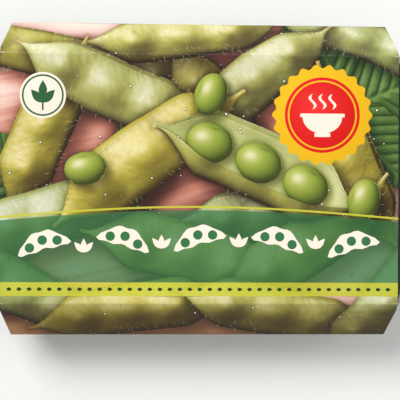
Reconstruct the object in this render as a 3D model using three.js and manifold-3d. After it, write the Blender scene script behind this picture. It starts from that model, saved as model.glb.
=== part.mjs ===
// A chilled ready-to-eat edamame pack: a black tray of cooked pods, a clear lid that clips over its rim, and
// a printed board sleeve. Millimetres, +Z up. The origin is under the middle of the sleeve, X runs along the
// pack and -Y is its front.

import * as THREE from "three";
import { mergeVertices } from "three/addons/utils/BufferGeometryUtils.js";
import Module from "manifold-3d";

const wasm = await Module();
wasm.setup();

// Driving sizes
const clearance = 0.3; // between pieces that touch
const board = 0.5; // the sleeve's paperboard
const sleeve = {
  topLength: 160, // along X
  topWidth: 100, // between the two top folds
  waistLength: 153, // along X below the tapered ends
  waistWidth: 128, // between the two folds beside the tray's rim
  waistHeight: 22.8,
  bottomWidth: 105,
  taperDrop: 2, // how far below the top folds the ends start to taper
  foldRadius: 1.1,
  lapWidth: 18, // where the glued ends of the board overlap
};
const wall = 0.8; // the tray's plastic
const tray = {
  rimLength: 168.6,
  rimWidth: 120.6,
  rimCorner: 18,
  rimShelf: 5, // the flat rim that the lid sits on
  lipDepth: 2.2,
  depth: 22,
  floorLength: 142,
  floorWidth: 98,
  floorCorner: 11,
  footWidth: 8,
  footHeight: 1.8, // how far the middle of the floor stands above the feet
  floorRound: 2.6, // how far the rounded edge round the floor rises
};
const film = 0.5; // the lid's clear plastic
const lid = {
  rise: 9, // from the rim to the top
  topLength: 144,
  topWidth: 97,
  topCorner: 12,
  topRound: 1.6, // how far the rounded edge round the top drops
  skirtDepth: 2.4,
};
const podCount = 40;
const podSize = { shortest: 51, longest: 63, narrowest: 12, widest: 13.8, thinnest: 8.4, thickest: 9.6 };
const seed = 31;

// Heights that follow
const trayBase = 2 * board + clearance; // above the doubled board at the lap
const rimTop = trayBase + tray.depth;
const lidRim = rimTop + clearance;
const lidTop = lidRim + film + lid.rise;
const sleeveTop = lidTop + clearance + board;

// Small seeded random numbers, so that the pods lie the same way in every build
function randomNumbers(start) {
  let state = start;
  return (low, high) => {
    state = (state + 0x6d2b79f5) | 0;
    let mixed = Math.imul(state ^ (state >>> 15), 1 | state);
    mixed = (mixed + Math.imul(mixed ^ (mixed >>> 7), 61 | mixed)) ^ mixed;
    const share = ((mixed ^ (mixed >>> 14)) >>> 0) / 4294967296;
    return low + (high - low) * share;
  };
}

const mix = THREE.MathUtils.lerp;
const smooth = THREE.MathUtils.smoothstep;

// Solids
function toSolid(geometry) {
  const bare = geometry.clone();
  bare.deleteAttribute("normal");
  bare.deleteAttribute("uv");
  const merged = mergeVertices(bare, 1e-4);
  return new wasm.Manifold(
    new wasm.Mesh({
      numProp: 3,
      vertProperties: merged.attributes.position.array,
      triVerts: new Uint32Array(merged.index.array),
    }),
  );
}

function toGeometry(solid) {
  const mesh = solid.getMesh();
  const geometry = new THREE.BufferGeometry();
  geometry.setAttribute("position", new THREE.BufferAttribute(mesh.vertProperties, 3));
  geometry.setIndex(new THREE.BufferAttribute(mesh.triVerts, 1));
  return geometry;
}

// A closed skin over rings with the same number of points, with a fan over the first and the last ring.
function skin(rings) {
  const points = rings.flat();
  const count = rings[0].length;
  const triangles = [];
  for (let ring = 0; ring + 1 < rings.length; ring++) {
    for (let i = 0; i < count; i++) {
      const a = ring * count + i;
      const b = ring * count + ((i + 1) % count);
      triangles.push(a, b, b + count, a, b + count, a + count);
    }
  }
  for (const [ring, turned] of [[0, true], [rings.length - 1, false]]) {
    const middle = points.length;
    points.push(rings[ring].reduce((sum, p) => sum.add(p), new THREE.Vector3()).divideScalar(count));
    for (let i = 0; i < count; i++) {
      const a = ring * count + i;
      const b = ring * count + ((i + 1) % count);
      triangles.push(...(turned ? [b, a, middle] : [a, b, middle]));
    }
  }
  const geometry = new THREE.BufferGeometry().setFromPoints(points);
  geometry.setIndex(triangles);
  return geometry;
}

// A level ring in the shape of a rectangle with round corners, of half length and half width.
function cornerRing([halfLength, halfWidth, corner, z]) {
  const steps = 6;
  const ring = [];
  const corners = [[1, 1], [-1, 1], [-1, -1], [1, -1]];
  corners.forEach(([sideX, sideY], quarter) => {
    for (let i = 0; i <= steps; i++) {
      const angle = (quarter + i / steps) * (Math.PI / 2);
      ring.push(
        new THREE.Vector3(
          sideX * (halfLength - corner) + corner * Math.cos(angle),
          sideY * (halfWidth - corner) + corner * Math.sin(angle),
          z,
        ),
      );
    }
  });
  return ring;
}

// Sleeve: a glued board tube with six folds, whose ends taper from the top folds to the rim
function foldedSection(inset) {
  const halfTop = sleeve.topWidth / 2 - inset * 0.75;
  const halfWaist = sleeve.waistWidth / 2 - inset * 1.15;
  const halfBottom = sleeve.bottomWidth / 2 - inset * 0.75;
  const corners = [
    [halfTop, sleeveTop - inset],
    [-halfTop, sleeveTop - inset],
    [-halfWaist, sleeve.waistHeight],
    [-halfBottom, inset],
    [halfBottom, inset],
    [halfWaist, sleeve.waistHeight],
  ].map(([y, z]) => new THREE.Vector2(y, z));
  const radius = sleeve.foldRadius - inset;
  const points = [];
  corners.forEach((corner, i) => {
    const before = corners[(i + 5) % 6].clone().sub(corner).normalize();
    const after = corners[(i + 1) % 6].clone().sub(corner).normalize();
    const half = Math.acos(before.dot(after)) / 2;
    const reach = radius / Math.tan(half);
    const curve = new THREE.QuadraticBezierCurve(
      corner.clone().addScaledVector(before, reach),
      corner,
      corner.clone().addScaledVector(after, reach),
    );
    points.push(...curve.getPoints(3));
  });
  return points;
}

// A prism of an outline in the plane of X and Z, as wide as the whole pack, to cut the sleeve's ends with.
function endCutter(side) {
  const taperTop = sleeveTop - sleeve.taperDrop;
  const beyond = sleeve.topLength;
  const outline = [
    [sleeve.topLength / 2, taperTop],
    [sleeve.waistLength / 2, sleeve.waistHeight],
    [sleeve.waistLength / 2, -1],
    [beyond, -1],
    [beyond, taperTop],
  ].map(([x, z]) => new THREE.Vector2(side * x, z));
  const width = 2 * sleeve.waistWidth;
  const prism = new THREE.ExtrudeGeometry(new THREE.Shape(outline), { depth: width, bevelEnabled: false });
  return toSolid(prism.translate(0, 0, -width / 2).rotateX(Math.PI / 2));
}

function sleeveGeometry() {
  const section = new THREE.Shape(foldedSection(0));
  section.holes.push(new THREE.Path(foldedSection(board)));
  const length = sleeve.topLength;
  const tube = new THREE.ExtrudeGeometry(section, { depth: length, bevelEnabled: false });
  const along = new THREE.Matrix4().makeBasis(
    new THREE.Vector3(0, 1, 0),
    new THREE.Vector3(0, 0, 1),
    new THREE.Vector3(1, 0, 0),
  );
  tube.translate(0, 0, -length / 2).applyMatrix4(along);
  const lapHeight = 1.5 * board; // the lap starts inside the bottom panel, so that the two join
  const lap = new THREE.BoxGeometry(sleeve.waistLength, sleeve.lapWidth, lapHeight);
  lap.translate(0, 0, board / 2 + lapHeight / 2);
  return toGeometry(toSolid(tube).add(toSolid(lap)).subtract(endCutter(1)).subtract(endCutter(-1)));
}

// Tray: one moulded wall, followed from the underside out to the lip and back in over the rim
function trayGeometry() {
  const rimX = tray.rimLength / 2;
  const rimY = tray.rimWidth / 2;
  const floorX = tray.floorLength / 2;
  const floorY = tray.floorWidth / 2;
  const shelf = tray.rimShelf;
  const foot = tray.footWidth;
  const round = tray.floorRound;
  const raised = trayBase + tray.footHeight;
  const rings = [
    [floorX - foot - 5, floorY - foot - 5, 6, raised],
    [floorX - foot - 3, floorY - foot - 3, 7, trayBase],
    [floorX - 3, floorY - 3, tray.floorCorner - 2, trayBase],
    [floorX, floorY, tray.floorCorner, trayBase + round],
    [rimX - shelf, rimY - shelf, tray.rimCorner - shelf + 1, rimTop - wall],
    [rimX - wall, rimY - wall, tray.rimCorner - wall, rimTop - wall],
    [rimX - wall, rimY - wall, tray.rimCorner - wall, rimTop - tray.lipDepth],
    [rimX, rimY, tray.rimCorner, rimTop - tray.lipDepth],
    [rimX, rimY, tray.rimCorner, rimTop],
    [rimX - shelf - wall, rimY - shelf - wall, tray.rimCorner - shelf, rimTop],
    [floorX - wall, floorY - wall, tray.floorCorner - wall, trayBase + round + wall / 2],
    [floorX - 3.4, floorY - 3.4, tray.floorCorner - 3, trayBase + wall],
    [floorX - foot - 2.6, floorY - foot - 2.6, 7, trayBase + wall],
    [floorX - foot - 4.6, floorY - foot - 4.6, 6, raised + wall],
  ];
  return skin(rings.map(cornerRing));
}

// Lid: a shallow clear dome with a flat rim and a skirt that clips over the tray's lip
const skirtX = tray.rimLength / 2 + clearance;
const skirtY = tray.rimWidth / 2 + clearance;
const skirtCorner = tray.rimCorner + clearance;

function lidGeometry() {
  const topX = lid.topLength / 2;
  const topY = lid.topWidth / 2;
  const footX = skirtX - tray.rimShelf;
  const footY = skirtY - tray.rimShelf;
  const footCorner = tray.rimCorner - tray.rimShelf;
  const edge = lid.topRound;
  const rings = [
    [topX - edge, topY - edge, lid.topCorner - edge, lidTop - film],
    [topX - film, topY - film, lid.topCorner - film, lidTop - edge],
    [footX - film, footY - film, footCorner - film, lidRim],
    [skirtX, skirtY, skirtCorner, lidRim],
    [skirtX, skirtY, skirtCorner, lidRim - lid.skirtDepth],
    [skirtX + film, skirtY + film, skirtCorner + film, lidRim - lid.skirtDepth],
    [skirtX + film, skirtY + film, skirtCorner + film, lidRim + film],
    [footX, footY, footCorner, lidRim + film],
    [topX, topY, lid.topCorner, lidTop - edge + film / 2],
    [topX - edge, topY - edge, lid.topCorner - edge, lidTop],
  ];
  return skin(rings.map(cornerRing));
}

// Edamame pods: curved, flattened hulls that swell over two or three beans, with a stalk end and a beak
function makePod(random) {
  const length = random(podSize.shortest, podSize.longest);
  return {
    length,
    beans: length > 52 ? 3 : 2,
    halfWidth: random(podSize.narrowest, podSize.widest) / 2,
    halfThickness: random(podSize.thinnest, podSize.thickest) / 2,
    bow: random(2.2, 5.5), // how far the middle stands off the line between the ends
    hook: random(0.6, 1.6), // how far the beak turns up
    place: new THREE.Vector3(),
    turn: new THREE.Quaternion(),
  };
}

// Where the middle line of a pod runs and how wide and thick it is, at a share of its length from the stalk.
function podStation(pod, share) {
  const swell = smooth(share, 0.05, 0.3) * (1 - smooth(share, 0.74, 1.0));
  const firstBean = pod.beans === 3 ? 0.26 : 0.32;
  const lastBean = pod.beans === 3 ? 0.76 : 0.7;
  const waves = ((share - firstBean) / (lastBean - firstBean)) * (pod.beans - 1);
  const pastFirst = smooth(share, firstBean - 0.02, firstBean + 0.04);
  const beforeLast = 1 - smooth(share, lastBean - 0.04, lastBean + 0.02);
  const inside = pastFirst * beforeLast;
  const waist = inside * (0.5 - 0.5 * Math.cos(2 * Math.PI * waves));
  const stalk = 0.95;
  return {
    x: (share - 0.5) * pod.length,
    y: pod.bow * (4 * share * (1 - share) - 0.5) + pod.hook * smooth(share, 0.8, 1) ** 2,
    halfWidth: stalk + (pod.halfWidth - stalk) * swell * (1 - 0.1 * waist),
    halfThickness: stalk * 0.9 + (pod.halfThickness - stalk * 0.9) * swell * (1 - 0.3 * waist),
  };
}

function podGeometry(pod) {
  const sides = 10;
  const shares = [0, 0.06, 0.14, 0.21, 0.28, 0.37, 0.45, 0.52, 0.6, 0.68, 0.76, 0.84, 0.91, 0.97, 1];
  const rings = shares.map((share) => {
    const { x, y, halfWidth, halfThickness } = podStation(pod, share);
    const end = share === 0 || share === 1 ? 0.6 : 1;
    const ring = [];
    for (let i = 0; i < sides; i++) {
      const angle = (i / sides) * 2 * Math.PI;
      const across = end * halfWidth * Math.cos(angle);
      const up = end * halfThickness * Math.sign(Math.sin(angle)) * Math.abs(Math.sin(angle)) ** 1.1;
      ring.push(new THREE.Vector3(x, y + across, up));
    }
    return ring;
  });
  return skin(rings);
}

// The two leaning walls that close the pods in, each as half length, half width and height at its foot and
// its head. A ball's middle stays further from a leaning wall along a level line than square to it: stretch is
// how much. The tray's wall drops straight below its foot, while the lid's is carried on below the rim.
const innerCorner = 13;
const walls = [
  {
    foot: [tray.floorLength / 2 - wall, tray.floorWidth / 2 - wall, trayBase + tray.floorRound + wall],
    head: [tray.rimLength / 2 - tray.rimShelf - wall, tray.rimWidth / 2 - tray.rimShelf - wall, rimTop],
    stretch: 1.1,
    lowest: 0,
  },
  {
    foot: [skirtX - tray.rimShelf - film, skirtY - tray.rimShelf - film, lidRim],
    head: [lid.topLength / 2 - film, lid.topWidth / 2 - film, lidTop - lid.topRound],
    stretch: 1.5,
    lowest: -3,
  },
];

// Each pod is stood for by pairs of balls along it, which fall, push each other apart and stay in the cavity.
// After each step the pod takes the place and turn that fit its balls best.
function podBalls(pod) {
  const stations = 18;
  const balls = [];
  for (let i = 0; i < stations; i++) {
    const { x, y, halfWidth, halfThickness } = podStation(pod, 0.02 + (0.96 * i) / (stations - 1));
    const aside = Math.max(halfWidth - halfThickness, 0);
    for (const side of [-1, 1]) {
      const own = new THREE.Vector3(x, y + side * aside, 0);
      balls.push({ own, radius: halfThickness, at: new THREE.Vector3() });
    }
  }
  const middle = new THREE.Vector3();
  balls.forEach((ball) => middle.add(ball.own));
  middle.divideScalar(balls.length);
  balls.forEach((ball) => ball.own.sub(middle));
  return { balls, middle };
}

function separate(a, b, gap) {
  if (a.place.distanceTo(b.place) > (a.length + b.length) / 2) return;
  const apart = new THREE.Vector3();
  for (const one of a.balls) {
    for (const two of b.balls) {
      const wanted = one.radius + two.radius + gap;
      apart.subVectors(one.at, two.at);
      const distance = apart.length();
      if (distance < wanted) {
        apart.multiplyScalar((0.5 * (wanted - distance)) / Math.max(distance, 1e-6));
        one.at.add(apart);
        two.at.sub(apart);
      }
    }
  }
}

function keepInside(ball, gap) {
  const floor = trayBase + tray.footHeight + wall;
  ball.at.z = Math.max(ball.at.z, floor + ball.radius + gap);
  ball.at.z = Math.min(ball.at.z, Math.max(lidTop - film - ball.radius - gap, floor + ball.radius));
  for (const { foot, head, stretch, lowest } of walls) {
    const share = Math.max((ball.at.z - foot[2]) / (head[2] - foot[2]), lowest);
    const innerX = mix(foot[0], head[0], share) - innerCorner;
    const innerY = mix(foot[1], head[1], share) - innerCorner;
    const reach = innerCorner - (ball.radius + gap) * stretch;
    const nearX = THREE.MathUtils.clamp(ball.at.x, -innerX, innerX);
    const nearY = THREE.MathUtils.clamp(ball.at.y, -innerY, innerY);
    const past = Math.hypot(ball.at.x - nearX, ball.at.y - nearY);
    if (past > reach) {
      ball.at.x = nearX + ((ball.at.x - nearX) * reach) / past;
      ball.at.y = nearY + ((ball.at.y - nearY) * reach) / past;
    }
  }
}

// The place and turn that bring a pod's own ball centres closest to where the balls are now.
function followBalls(pod) {
  const middle = new THREE.Vector3();
  pod.balls.forEach((ball) => middle.add(ball.at));
  middle.divideScalar(pod.balls.length);
  const columns = [new THREE.Vector3(), new THREE.Vector3(), new THREE.Vector3()];
  const offset = new THREE.Vector3();
  for (const ball of pod.balls) {
    offset.subVectors(ball.at, middle);
    columns[0].addScaledVector(offset, ball.own.x);
    columns[1].addScaledVector(offset, ball.own.y);
    columns[2].addScaledVector(offset, ball.own.z);
  }
  const axes = [new THREE.Vector3(), new THREE.Vector3(), new THREE.Vector3()];
  const turning = new THREE.Vector3();
  for (let pass = 0; pass < 12; pass++) {
    new THREE.Matrix4().makeRotationFromQuaternion(pod.turn).extractBasis(...axes);
    turning.set(0, 0, 0);
    let along = 1e-9;
    axes.forEach((axis, i) => {
      turning.add(axis.clone().cross(columns[i]));
      along += axis.dot(columns[i]);
    });
    turning.divideScalar(Math.abs(along));
    const angle = turning.length();
    if (angle < 1e-7) break;
    const step = new THREE.Quaternion().setFromAxisAngle(turning.divideScalar(angle), angle);
    pod.turn.premultiply(step).normalize();
  }
  pod.place.copy(middle);
}

function moveBalls(pod) {
  pod.balls.forEach((ball) => ball.at.copy(ball.own).applyQuaternion(pod.turn).add(pod.place));
}

// Drops the pods in loose layers, lets them come to rest in the tray, and then only pushes them apart.
function pilePods(random) {
  const pods = Array.from({ length: podCount }, () => makePod(random));
  const perLayer = 9;
  pods.forEach((pod, i) => {
    Object.assign(pod, podBalls(pod));
    const layer = Math.floor(i / perLayer);
    const slot = i % perLayer;
    pod.place.set(
      ((slot % 3) - 1) * 46 + random(-5, 5),
      (Math.floor(slot / 3) - 1) * 30 + random(-5, 5),
      rimTop - 8 + layer * 16,
    );
    const tilt = new THREE.Euler(random(-0.5, 0.5), random(-0.35, 0.35), random(0, 2 * Math.PI), "ZYX");
    pod.turn.setFromEuler(tilt);
    pod.last = pod.place.clone();
    moveBalls(pod);
  });
  const fall = 0.05;
  const drag = 0.88;
  const falling = 420;
  const freeing = 260;
  for (let step = 0; step < falling + freeing; step++) {
    const loose = step >= falling;
    for (const pod of pods) {
      const speed = pod.place.clone().sub(pod.last).multiplyScalar(loose ? 0 : drag);
      pod.last.copy(pod.place);
      speed.z -= loose ? 0 : fall;
      pod.place.add(speed);
      moveBalls(pod);
    }
    for (let i = 0; i < podCount; i++) {
      for (let j = i + 1; j < podCount; j++) separate(pods[i], pods[j], 0.7);
    }
    for (const pod of pods) {
      pod.balls.forEach((ball) => keepInside(ball, 0.6));
      followBalls(pod);
      moveBalls(pod);
    }
  }
  return pods;
}

// The whole pack
const finish = (color, roughness, more = {}) => {
  return new THREE.MeshStandardMaterial({ color, roughness, metalness: 0, ...more });
};
const finishes = {
  tray: finish(0x101012, 0.32),
  lid: finish(0xf2f6f6, 0.06, { transparent: true, opacity: 0.25 }),
  sleeve: finish(0x5c8a3c, 0.38),
  pod: finish(0x8fa64a, 0.5),
};

function named(name, geometry, material) {
  const mesh = new THREE.Mesh(geometry, material);
  mesh.name = name;
  return mesh;
}

const pack = new THREE.Group();
pack.add(named("sleeve", sleeveGeometry(), finishes.sleeve));
pack.add(named("tray", trayGeometry(), finishes.tray));
pack.add(named("lid", lidGeometry(), finishes.lid));
pilePods(randomNumbers(seed)).forEach((pod, i) => {
  const mesh = named(`pod_${String(i + 1).padStart(2, "0")}`, podGeometry(pod), finishes.pod);
  mesh.geometry.translate(-pod.middle.x, -pod.middle.y, -pod.middle.z);
  mesh.position.copy(pod.place);
  mesh.quaternion.copy(pod.turn);
  pack.add(mesh);
});

export default pack;
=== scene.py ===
"""A ready-to-eat edamame pack: pods in a black tray with a clear lid, in a printed board sleeve."""

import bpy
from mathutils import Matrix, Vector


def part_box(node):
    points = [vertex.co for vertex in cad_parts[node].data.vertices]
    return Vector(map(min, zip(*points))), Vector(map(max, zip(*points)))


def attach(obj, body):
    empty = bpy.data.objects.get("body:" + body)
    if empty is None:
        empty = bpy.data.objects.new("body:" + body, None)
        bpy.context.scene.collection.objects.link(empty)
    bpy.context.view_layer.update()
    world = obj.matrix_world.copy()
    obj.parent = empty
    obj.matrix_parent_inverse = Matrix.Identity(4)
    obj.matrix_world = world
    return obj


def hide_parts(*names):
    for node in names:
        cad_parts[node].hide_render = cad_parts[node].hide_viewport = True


bl_info = {
    "name": "Edamame Tray Pack",
    "version": (1, 0, 0),
    "blender": (4, 5, 0),
    "location": "View3D > Sidebar > Tray Pack",
    "description": "Builds a sleeved tray pack of edamame pods round its packed solids",
    "category": "Object",
}

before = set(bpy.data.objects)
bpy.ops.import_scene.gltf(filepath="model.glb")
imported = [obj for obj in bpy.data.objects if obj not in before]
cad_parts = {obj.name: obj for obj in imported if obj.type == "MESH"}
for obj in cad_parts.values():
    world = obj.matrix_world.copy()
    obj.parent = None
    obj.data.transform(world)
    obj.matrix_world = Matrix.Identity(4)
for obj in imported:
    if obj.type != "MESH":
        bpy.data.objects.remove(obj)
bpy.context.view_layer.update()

import math

import bmesh
import bpy
import numpy as np
from bpy.props import FloatProperty, FloatVectorProperty, IntProperty, PointerProperty
from mathutils import Vector
from mathutils.geometry import delaunay_2d_cdt

MM = 0.001  # lengths below are in millimetres unless they say metres
BODY = "root"
PRINT_SCALE = 0.01  # units of the print's texture places to a millimetre
POD_SCALE = 0.1  # units of the pods' texture places to a millimetre


def node_box(name):
    """Lowest and highest corner of a solid of the frame, in millimetres."""
    low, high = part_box(name)
    return np.array(low) / MM, np.array(high) / MM


SLEEVE_HIGH = node_box("sleeve")[1]
TRAY_LOW, TRAY_HIGH = node_box("tray")
LID_LOW, LID_HIGH = node_box("lid")


# Sizes and colours that a user may change


def length(name, description, default_mm):
    return FloatProperty(
        name=name,
        description=description,
        default=default_mm * MM,
        unit="LENGTH",
        precision=5,
    )


def factor(name, description, default):
    return FloatProperty(
        name=name,
        description=description,
        default=default,
        subtype="FACTOR",
        min=0,
        max=1,
    )


def colour(name, description, red, green, blue):
    return FloatVectorProperty(
        name=name,
        description=description,
        default=(red, green, blue),
        subtype="COLOR_GAMMA",
        min=0,
        max=1,
    )


class SleeveSettings(bpy.types.PropertyGroup):
    board: length("Board", "Thickness of the sleeve's paperboard", 0.46)
    fold_radius: length("Fold radius", "Rounding of the board at its folds", 1.1)
    top_width: length("Front width", "Width of the printed front between its two folds", 100)
    waist_height: length("Waist height", "Height of the folds beside the tray's rim", 22.8)
    waist_width: length("Waist width", "Width between the folds beside the tray's rim", 128)
    waist_length: length("Waist length", "Length of the sleeve below its tapered ends", 153)
    bottom_width: length("Bottom width", "Width of the bottom panel between its folds", 105)
    taper_drop: length("Taper drop", "Drop below the front at which the ends start to taper", 2)
    lap_width: length("Lap width", "How far the glued ends of the board overlap", 18)
    band_ink: colour("Band", "Green of the band across the front", 0.22, 0.47, 0.27)
    lime_ink: colour("Lime", "Yellow-green of the stripe under the band", 0.80, 0.80, 0.24)
    badge_ink: colour("Badge", "Yellow of the round badge", 0.98, 0.77, 0.13)
    red_ink: colour("Red", "Red of the badge's middle", 0.93, 0.16, 0.15)
    cream_ink: colour("Cream", "Cream of the ornaments and the underside", 0.995, 0.95, 0.88)
    bare_board: colour("Bare board", "The unprinted inside of the board", 0.80, 0.76, 0.69)


class TraySettings(bpy.types.PropertyGroup):
    wall: length("Wall", "Thickness of the tray's plastic", 0.8)
    rim_shelf: length("Rim shelf", "Width of the tray's flat rim", 5)
    flute_depth: length("Flute depth", "Depth of the upright flutes in the tray's walls", 0.35)
    plastic: colour("Tray plastic", "Black of the tray", 0.045, 0.045, 0.05)


class LidSettings(bpy.types.PropertyGroup):
    film: length("Film", "Thickness of the lid's clear plastic", 0.5)
    clear: colour("Lid plastic", "Tint of the lid's clear plastic", 0.5, 0.53, 0.54)
    haze: factor("Haze", "How much of the plastic is seen, face on", 0.08)


class PodSettings(bpy.types.PropertyGroup):
    fineness: IntProperty(name="Fineness", description="Smoothing of each pod", default=2, min=1, max=3)
    skin: colour("Pod skin", "Main green of the cooked pods", 0.49, 0.57, 0.22)
    ripe: colour("Pod highlight", "Yellower green where the beans swell", 0.70, 0.71, 0.36)


class StageSettings(bpy.types.PropertyGroup):
    floor: colour("Floor", "Pale floor under the pack", 0.97, 0.97, 0.96)
    camera_distance: length("Camera distance", "From the camera to the middle of the front", 420)


# Small helpers for shapes, colours and textures


def smooth(value, low, high):
    """A soft step from 0 at the low value to 1 at the high one."""
    share = np.clip((value - low) / (high - low), 0, 1)
    return share * share * (3 - 2 * share)


def mix(a, b, share):
    return a + (b - a) * share


def turned(points, degrees):
    """Flat points, turned anticlockwise about the middle."""
    angle = math.radians(degrees)
    turn = np.array([[math.cos(angle), math.sin(angle)], [-math.sin(angle), math.cos(angle)]])
    return np.asarray(points, float) @ turn


def ring_of(count):
    """Angles evenly round a circle."""
    return np.linspace(0, 2 * math.pi, count, endpoint=False)


def to_linear(colours):
    """Colours as seen on a screen, as amounts of light."""
    colours = np.clip(colours, 0, 1)
    return np.where(colours <= 0.04045, colours / 12.92, ((colours + 0.055) / 1.055) ** 2.4)


CELLS = 128
LATTICE = np.random.default_rng(20).random((CELLS, CELLS))


def mottle(x, y, size):
    """Soft random patches of about that size, from 0 to 1."""
    far = 1000
    across = np.asarray(x) / size + far
    up = np.asarray(y) / size + far
    column = np.floor(across).astype(int)
    row = np.floor(up).astype(int)
    share = smooth(across - column, 0, 1)
    column, beside = column % CELLS, (column + 1) % CELLS
    low = mix(LATTICE[column, row % CELLS], LATTICE[beside, row % CELLS], share)
    high = mix(LATTICE[column, (row + 1) % CELLS], LATTICE[beside, (row + 1) % CELLS], share)
    return mix(low, high, smooth(up - row, 0, 1))


def tones(value, stops):
    """Colours from dark to light: stops are (value, red, green, blue) with 255 as full."""
    table = np.array(stops, float)
    return np.column_stack([np.interp(value, table[:, 0], table[:, i]) for i in (1, 2, 3)]) / 255


def inside(points, outline):
    """Which points lie within a closed outline."""
    x, y = points[:, 0], points[:, 1]
    result = np.zeros(len(points), bool)
    near = np.all((points >= outline.min(0)) & (points <= outline.max(0)), axis=1)
    x, y = x[near, None], y[near, None]
    ax, ay = outline[:, 0][None], outline[:, 1][None]
    bx, by = np.roll(outline[:, 0], -1)[None], np.roll(outline[:, 1], -1)[None]
    with np.errstate(divide="ignore", invalid="ignore"):
        crossing = ((ay > y) != (by > y)) & (x < (bx - ax) * (y - ay) / (by - ay) + ax)
    result[near] = crossing.sum(1) % 2 == 1
    return result


def nearest(points, place):
    """The number of the point that lies closest to a place."""
    return int(np.argmin(np.hypot(*(points - place).T)))


def edge_distance(points, outline):
    """Distance from each point to a closed outline, below zero within it."""
    start = outline[None]
    along = np.roll(outline, -1, axis=0)[None] - start
    offset = points[:, None] - start
    share = (offset * along).sum(2) / np.maximum((along * along).sum(2), 1e-9)
    gap = offset - along * np.clip(share, 0, 1)[..., None]
    distance = np.sqrt((gap**2).sum(2)).min(1)
    return np.where(inside(points, outline), -distance, distance)


def fill(items, name, values, kind=np.float32):
    """Write one property of a run of a mesh's items."""
    items.foreach_set(name, np.asarray(values, kind).ravel())


# What is printed: every motif has an outline on the flat sheet and paints its own points

GLINT = np.array([1.0, 0.95, 0.87])
HAIR = np.array([0.93, 0.91, 0.76])
SALT = np.array([0.98, 0.98, 0.95])
LIGHT = np.array([-0.46, 0.52, 0.72])
LIGHT = LIGHT / np.linalg.norm(LIGHT)
HALF_WAY = LIGHT + [0, 0, 1]
HALF_WAY = HALF_WAY / np.linalg.norm(HALF_WAY)


class Motif:
    """A painted thing of the print.

    Its lift is how far it stands off what its shadow falls on. Its fuzz is how much of the print's
    fine fibre texture shows on it.
    """

    lift = 0.0
    fuzz = 0.0

    def __init__(self, x, y, angle):
        self.place = np.array([x, y], float)
        self.angle = angle

    def own(self, points):
        """Points of the sheet in the motif's own directions."""
        return turned(points - self.place, -self.angle)

    def put(self, points):
        """The motif's own points on the sheet."""
        return turned(points, self.angle) + self.place

    def height(self, points):
        return np.zeros(len(points))

    def normal(self, points):
        step = 0.12
        here = self.height(points)
        slope_x = (self.height(points + [step, 0]) - here) / step
        slope_y = (self.height(points + [0, step]) - here) / step
        normal = np.column_stack([-slope_x, -slope_y, np.ones(len(points))])
        return normal / np.linalg.norm(normal, axis=1)[:, None]

    def lit(self, points, floor=0.02, gloss=0.3, sharpness=14):
        """Brightness and gloss of a lit surface of the motif's own relief."""
        normal = self.normal(points)
        facing = np.clip(normal @ LIGHT, 0, 1)
        value = floor + 0.62 * facing**1.3 + 0.12 * normal[:, 2] ** 2
        shine = gloss * np.clip(normal @ HALF_WAY, 0, 1) ** sharpness
        return value, shine


POD_TONES = [
    (0.0, 38, 29, 21),
    (0.13, 65, 55, 29),
    (0.28, 98, 90, 46),
    (0.42, 129, 124, 59),
    (0.56, 160, 156, 74),
    (0.7, 186, 183, 102),
    (0.84, 210, 209, 149),
    (1.0, 231, 228, 192),
    (1.2, 252, 243, 224),
]
LINING_TONES = [
    (0.0, 52, 46, 28),
    (0.3, 122, 126, 66),
    (0.55, 172, 176, 104),
    (0.8, 214, 214, 152),
    (1.1, 248, 242, 208),
]
BEAN_TONES = [
    (0.0, 44, 50, 20),
    (0.25, 96, 112, 40),
    (0.5, 142, 158, 58),
    (0.75, 184, 194, 92),
    (1.1, 234, 234, 176),
]
LEAF_TONES = [
    (0.0, 22, 30, 16),
    (0.25, 44, 66, 30),
    (0.45, 70, 98, 42),
    (0.65, 104, 130, 62),
    (1.0, 178, 190, 126),
]
WOOD_TONES = [
    (0.0, 44, 28, 25),
    (0.2, 92, 52, 44),
    (0.4, 146, 88, 74),
    (0.6, 192, 126, 106),
    (0.8, 226, 172, 154),
    (1.05, 250, 222, 206),
]
CLOTH_TONES = [
    (0.0, 70, 46, 40),
    (0.3, 150, 108, 96),
    (0.6, 222, 184, 172),
    (0.85, 248, 226, 212),
    (1.1, 254, 242, 230),
]


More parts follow.
